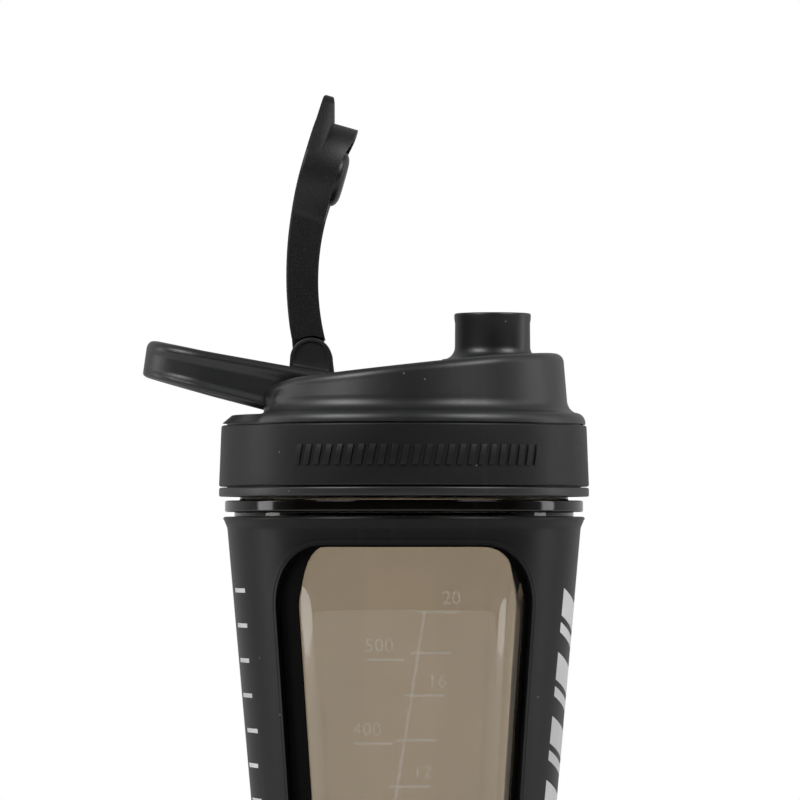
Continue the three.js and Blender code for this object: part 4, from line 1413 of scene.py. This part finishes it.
@dataclass
class FlipCap:
    """Flip cap with its arm, round skirt and thumb tab, modelled closed and turned open about the pin."""

    levels: Levels
    lid: LidShell
    open_angle: float = 74.0
    wall: float = 1.6
    over_dome: float = 6.36
    headroom: float = 2.45
    room: float = 2.3
    arm_offset: float = 6.0
    arm_rise: float = 7.45
    arm_sink: float = 1.95
    arm_width: float = 18.0
    arm_blend: float = 3.5  # where it widens into the skirt
    tab_reach: float = 6.3
    tab_spread: float = 20.0
    tab_tip: float = 14.4  # width of its end
    tab_depth: float = 3.4
    tab_heel: float = 4.7  # its depth at the skirt
    tab_bend: float = 0.6
    knuckle_radius: float = 4.0
    knuckle_width: float = 12.0
    ear_room: float = 5.9  # radius kept free for the ears
    pin_hole: float = 1.85
    edge: float = 0.75
    rim_droop: float = 1.8
    rim_back: float = 9.0  # its crest, behind the axis of the spout
    stopper_play: float = 0.5
    stopper_tip: float = 1.3  # how much narrower its tip is
    stopper_flange: float = 1.4

    @property
    def top(self) -> float:
        """Highest point, closed."""
        return self.levels.spout_top + self.headroom + self.wall

    @property
    def skirt(self) -> float:
        """Radius of the round skirt."""
        return self.lid.spout_radius + self.room + self.wall

    @property
    def start(self) -> float:
        """Where the arm gets wide."""
        return self.levels.pin[0] + self.arm_offset

    def arch(self, x: float, crest: float, foot: float, inset: float = 0.0, back: float = 0.0) -> float:
        """Height of an arch that is level beyond its crest.

        Args:
            x: Place along the bottle.
            crest: Height of its crest.
            foot: Its height at the start of the arm.
            inset: How far it is drawn in.
            back: How far behind the axis of the spout it crests.

        Returns:
            The height.
        """
        span, drop = self.lid.spout_x - back - self.start, crest - foot
        radius = (span**2 + drop**2) / (2 * drop)
        across = min(x - self.lid.spout_x + back, 0.0)
        return crest - radius + math.sqrt((radius - inset) ** 2 - across**2)

    def back_at(self, x: float, inset: float = 0.0) -> float:
        """Back of the cap, which lies on top when it is closed."""
        return self.arch(x, self.top, self.levels.pin[1] + self.arm_rise, inset)

    def rim_at(self, x: float) -> float:
        """Rim of the cap, which lies below when it is closed."""
        crest = self.lid.slope_at(self.lid.spout_x) + self.over_dome
        droop = self.rim_droop * smooth((x - self.lid.spout_x - 2) / (self.skirt - 2))
        return self.arch(x, crest, self.levels.pin[1] - self.arm_sink, back=self.rim_back) - droop

    def half_at(self, x: float, inset: float) -> float:
        """Half width of the arm and the skirt at a place, drawn in by an inset."""
        radius = self.skirt - inset
        disc = math.sqrt(max(radius**2 - (x - self.lid.spout_x) ** 2, 0.0))
        arm = self.arm_width / 2 - inset
        if x >= self.lid.spout_x:
            return disc
        blend = self.arm_blend
        h = min(max(0.5 + 0.5 * (disc - arm) / blend, 0.0), 1.0)
        return arm + (disc - arm) * h + blend * h * (1 - h)

    def _hull(
        self, name: str, inset: float, from_x: float, low: Callable[[float], float], edge: float
    ) -> bpy.types.Object:
        """Solid between the back and a lower side.

        Args:
            name: Name of the piece.
            inset: How far it is drawn in.
            from_x: Where it begins.
            low: Height of the lower side at a place.
            edge: Bend between the back and the sides.

        Returns:
            The solid.
        """
        centre, radius = self.lid.spout_x, self.skirt - inset
        along, around, nearly = 45, 28, 0.99995
        places = np.linspace(from_x, centre, along + 1)[:-1].tolist()
        places += [centre + radius * math.sin(math.pi / 2 * k / around) for k in range(around)]
        places.append(centre + radius * nearly)
        rows: list[Row] = []
        for x in places:
            half, top, bottom = self.half_at(x, inset), self.back_at(x, inset), low(x)
            bend = min(edge, half * 0.98)
            right = arc(half - bend, top - bend, (bend, bend), 0, 90, 6)
            left = [(-y, z) for y, z in reversed(right)]
            rows.append([(x, y, z) for y, z in [(half, bottom), *right, *left, (-half, bottom)]])
        return skin(name, rows)

    def build(self) -> None:
        """Builds the cap and its stopper and turns both open."""
        cap = self._hull("cap_shell", 0.0, self.start, self.rim_at, self.edge)
        floor = self.levels.flange
        hollow = self._hull("cap_hollow", self.wall, self.start + self.wall, lambda x: floor, 0.5)
        join(cap, hollow, Join.CUT)
        soften(cap, 0.22, 2, 50)
        tab = self._tab()
        inset = self.wall - 0.15
        join(tab, self._hull("tab_room", inset, self.start + inset, lambda x: floor, 0.5), Join.CUT)
        join(cap, tab, Join.ADD)
        join(cap, self._root(), Join.ADD)
        half = self.knuckle_width / 2
        x, z = self.levels.pin
        outline = arc(x, z, (self.pin_hole, self.pin_hole), *ROUND_BAR)
        join(cap, widened("cap_pin_hole", outline, -half - 1, half + 1), Join.CUT)
        self._open(cap)
        dress(cap, [GRAINED], Body.CAP, ("flip_cap",), crease=38.0)
        stopper = self._stopper()
        self._open(stopper)
        dress(stopper, [SILICONE], Body.CAP, ("spout_stopper",))

    def _open(self, obj: bpy.types.Object) -> None:
        """Turns a closed piece open about the pin."""
        pin = Vector((self.levels.pin[0], 0, self.levels.pin[1])) * MM
        turn = Matrix.Rotation(math.radians(-self.open_angle), 4, "Y")
        obj.data.transform(Matrix.Translation(pin) @ turn @ Matrix.Translation(-pin))

    def _tab(self) -> bpy.types.Object:
        """Thumb tab, which leaves the skirt on tangents and narrows to its tip."""
        centre, radius, top = self.lid.spout_x, self.skirt, self.top
        spread = math.radians(self.tab_spread)
        first, wide = centre + radius * math.sin(spread), radius * math.cos(spread)
        tip = centre + radius + self.tab_reach
        root, half, corner = first - 4, self.tab_tip / 2, 4.5
        plan = rounded([
            (root, 3 - wide, 0),
            (first, -wide, 0),
            (tip, -half, corner),
            (tip, half, corner),
            (first, wide, 0),
            (root, wide - 3, 0),
        ], 12)
        end, bend = tip + 0.2, 1.2
        side = rounded([
            (centre, top - self.tab_depth, 0),
            (centre + radius + 0.5, top - self.tab_heel, 2.5),
            (end, top - 3.0, bend),
            (end, top - 0.4, bend),
            (centre, top, 0),
        ], 8)
        tab = raised("tab", plan, top - 2 * CLEAR, top + 1)
        join(tab, widened("tab_side", side, -radius - 2, radius + 2), Join.KEEP)
        soften(tab, self.tab_bend)
        return tab

    def _root(self) -> bpy.types.Object:
        """Narrow root of the arm with the knuckle."""
        x, z = self.levels.pin
        end = self.start + self.wall / 2
        half = self.knuckle_width / 2
        outline = [
            (x + 2.7, z - 2.4),
            (end, self.rim_at(end)),
            (end, self.back_at(end)),
            (x + 3.6, self.back_at(x + 3.6) - 0.1),
            (x, z + self.knuckle_radius + 0.9),
            (x - 2.7, z + 2.4),
        ]
        root = widened("arm_root", outline, -half, half)
        knuckle = arc(x, z, (self.knuckle_radius, self.knuckle_radius), *ROUND_BAR)
        join(root, widened("knuckle", knuckle, -half, half), Join.ADD)
        wide = self.arm_width / 2
        hollow = arc(x, z, (self.ear_room, self.ear_room), 50, 8, 12)
        filler = [(end, z + 0.8), (end, self.back_at(end)), (x + 3.8, self.back_at(x + 3.8) - 0.1), *hollow]
        join(root, widened("arm_heel", filler, -wide, wide), Join.ADD)
        soften(root, 0.3, 2, 50)
        return root

    def _stopper(self) -> bpy.types.Object:
        """Soft stopper that fills the spout."""
        top = self.levels.spout_top
        neck = self.lid.spout_bore - self.stopper_play
        tip = neck - self.stopper_tip
        flange = self.lid.spout_bore + self.stopper_flange
        seat = top + self.levels.gap
        web = self.back_at(self.lid.spout_x - flange, self.wall) - self.levels.gap
        return lathe("stopper_plug", [
            (0, top - 7.4),
            *arc(tip - 2.6, top - 5.4, (3.2, 2.0), -90, 0, 10),
            (tip + 0.7, top - 3.9),
            *arc(neck - 0.6, top - 2.9, (0.6, 0.6), -40, 30, 5),
            (neck - 0.35, top - 1.6),
            *arc(neck - 0.5, top - 0.8, (0.5, 0.5), -30, 60, 5),
            (neck, seat),
            *arc(flange - 0.35, seat + 0.35, (0.35, 0.35), -90, 0, 4),
            (flange, web),
            (0, web),
        ], SMALL_ROUND, centre=self.lid.spout_x)


@dataclass
class HingePin:
    """Steel pin of the hinge."""

    levels: Levels
    radius: float = 1.6
    chamfer: float = 0.3

    def build(self) -> None:
        """Builds the pin, with chamfered ends."""
        x, z = self.levels.pin
        low, high = self.levels.pin_ends
        rows: list[Row] = []
        r, edge = self.radius, self.chamfer
        for y, wide in ((low, r - edge), (low + edge, r), (high - edge, r), (high, r - edge)):
            rows.append([(a, y, b) for a, b in arc(x, z, (wide, wide), *ROUND_BAR)])
        dress(skin("pin_bar", rows), [STEEL], Body.LID, ("hinge_pin",))


# ---- Mixing ball ----


@dataclass
class MixingBall:
    """Mixing ball: one steel wire wound from pole to pole, made by geometry nodes."""

    levels: Levels
    centre: float = 0.0
    radius: float = 21.97
    wire: float = 1.1
    turns: float = 7.0
    pole: float = 0.26
    points: int = 900

    def _tree(self) -> bpy.types.NodeTree:
        """Node group that winds the wire."""
        tree = bpy.data.node_groups.new("wound_wire", "GeometryNodeTree")
        graph = Graph(tree)
        tree.interface.new_socket("Geometry", in_out="OUTPUT", socket_type="NodeSocketGeometry")
        for title in ("Radius", "Wire", "Turns", "Pole", "Height"):
            tree.interface.new_socket(title, in_out="INPUT", socket_type="NodeSocketFloat")
        for title in ("Points", "Sides"):
            tree.interface.new_socket(title, in_out="INPUT", socket_type="NodeSocketInt")
        tree.interface.new_socket("Material", in_out="INPUT", socket_type="NodeSocketMaterial")
        given = graph.node("NodeGroupInput").outputs
        line = graph.node("GeometryNodeCurvePrimitiveLine")
        dense = graph.node("GeometryNodeResampleCurve", {"Curve": line.outputs[0], "Count": given["Points"]})
        share = graph.node("GeometryNodeSplineParameter").outputs["Factor"]
        open_arc = graph.math("SUBTRACT", math.pi, graph.math("MULTIPLY", given["Pole"], 2.0))
        polar = graph.math("ADD", given["Pole"], graph.math("MULTIPLY", share, open_arc))
        turn = graph.math("MULTIPLY", graph.math("MULTIPLY", share, given["Turns"]), math.tau)
        flat = graph.math("MULTIPLY", graph.math("SINE", polar), given["Radius"])
        rise = graph.math("MULTIPLY", graph.math("COSINE", polar), given["Radius"])
        place = graph.node("ShaderNodeCombineXYZ", {
            0: graph.math("MULTIPLY", flat, graph.math("SINE", turn)),
            1: graph.math("MULTIPLY", graph.math("MULTIPLY", flat, graph.math("COSINE", turn)), -1.0),
            2: graph.math("ADD", rise, given["Height"]),
        }).outputs[0]
        wound = graph.node("GeometryNodeSetPosition", {"Geometry": dense.outputs[0], "Position": place})
        gauge = {"Resolution": given["Sides"], "Radius": given["Wire"]}
        section = graph.node("GeometryNodeCurvePrimitiveCircle", gauge)
        tube = graph.node(
            "GeometryNodeCurveToMesh",
            {"Curve": wound.outputs[0], "Profile Curve": section.outputs[0], "Fill Caps": True},
        )
        real = graph.node("GeometryNodeRealizeInstances", {"Geometry": tube.outputs[0]})
        paint = {"Geometry": real.outputs[0], "Material": given["Material"]}
        painted = graph.node("GeometryNodeSetMaterial", paint)
        graph.node("NodeGroupOutput", {0: painted.outputs[0]})
        return tree

    def build(self) -> None:
        """Builds the ball on the floor of the cup."""
        height = self.levels.ball_bottom + self.radius * math.cos(self.pole) + self.wire
        values = {
            "Radius": self.radius * MM,
            "Wire": self.wire * MM,
            "Turns": self.turns,
            "Pole": self.pole,
            "Height": height * MM,
            "Points": self.points,
            "Sides": 12,
            "Material": STEEL.material(),
        }
        ball = grow("wire_ball", self._tree(), values)
        dress(ball, [STEEL], Body.BALL, ("mixing_ball",))


# ---- Studio ----


@dataclass
class Studio:
    """Pale floor, white surround, soft boxes and the camera."""

    floor_radius: float = 1.2
    floor_levels: Point = (-0.05, -2.0)  # top and underside, in millimetres
    distance: float = 1.5
    eye: float = 0.1788
    aim: float = 0.2143
    aside: float = -0.00104
    lens: float = 260.0
    dim: float = 0.0
    bright: float = 0.5

    def build(self) -> None:
        """Builds the studio."""
        self._floor()
        self._world()
        self._box("left_strip", -99, 4, 1.2, (0.3, 1.3), 3.6)
        self._box("right_strip", 104, 4, 1.2, (0.26, 1.3), 2.6)
        self._box("left_high_box", -50, 42, 1.5, (0.6, 0.6), 12.0)
        self._box("right_high_box", 54, 42, 1.5, (0.6, 0.6), 11.0)
        camera = bpy.data.objects.new("camera", bpy.data.cameras.new("camera"))
        bpy.context.scene.collection.objects.link(camera)
        camera.data.lens = self.lens
        camera.data.sensor_width = 36.0
        camera.location = (self.aside, -self.distance, self.eye)
        aim = Vector((self.aside, 0.0, self.aim)) - camera.location
        camera.rotation_euler = aim.to_track_quat("-Z", "Y").to_euler()
        camera.data.clip_end = 20.0
        bpy.context.scene.camera = camera
        bpy.context.scene.view_settings.view_transform = "Standard"

    def _floor(self) -> None:
        """Pale matt floor."""
        disc = skin("floor", [circle(self.floor_radius / MM, z, 96) for z in self.floor_levels])
        finish = Finish(
            "pale_floor", (0.8, 0.8, 0.79), (0.82, 0.82, 0.82), 0.8,
            blotch=4.0, grain=300.0, dust=0.0, contrast=0.95,
        )
        disc.data.materials.append(finish.material())

    def _world(self) -> None:
        """White surround that lights the bottle only weakly."""
        world = bpy.data.worlds.new("surround")
        bpy.context.scene.world = world
        world.use_nodes = True
        graph = Graph(world.node_tree)
        path = graph.node("ShaderNodeLightPath").outputs
        seen = graph.math("MAXIMUM", path["Is Camera Ray"], path["Is Transmission Ray"])
        toward = graph.node("ShaderNodeTexCoord").outputs["Generated"]
        depth = graph.node("ShaderNodeSeparateXYZ", {0: toward}).outputs[1]
        behind = graph.span(depth, -0.3, 0.9, self.dim, self.bright)
        strength = graph.math("MAXIMUM", seen, behind)
        ground = graph.node("ShaderNodeBackground", {"Color": (1.0, 1.0, 1.0, 1.0), "Strength": strength})
        graph.node("ShaderNodeOutputWorld", {"Surface": ground.outputs[0]})

    def _box(self, name: str, turn: float, rise: float, away: float, size: Point, power: float) -> None:
        """Soft box that faces the lid.

        Args:
            name: Name of the light.
            turn: Its direction in degrees, from the front towards the right.
            rise: Its height in degrees above the lid.
            away: Its distance in metres.
            size: Its width and height in metres.
            power: Its power in watts.
        """
        light = bpy.data.lights.new(name, "AREA")
        light.shape = "RECTANGLE"
        light.size, light.size_y = size
        light.energy = power
        obj = bpy.data.objects.new(name, light)
        bpy.context.scene.collection.objects.link(obj)
        a, e = math.radians(turn), math.radians(rise)
        out = Vector((math.sin(a) * math.cos(e), -math.cos(a) * math.cos(e), math.sin(e)))
        obj.location = Vector((0, 0, self.eye)) + out * away
        obj.rotation_euler = (-out).to_track_quat("-Z", "Y").to_euler()


def main() -> None:
    """Builds the bottle and its studio."""
    logging.basicConfig(level=logging.INFO, format="%(name)s: %(message)s")
    levels = Levels.read()
    lid = LidShell(levels)
    pieces = [Cup(levels), Sleeve(levels), lid, GripCollar(levels), LidSeal(levels)]
    pieces += [FlipCap(levels, lid), HingePin(levels), MixingBall(levels)]
    for piece in pieces:
        piece.build()
        LOG.info("%s done", type(piece).__name__)
    Studio().build()


if __name__ == "__main__":
    main()
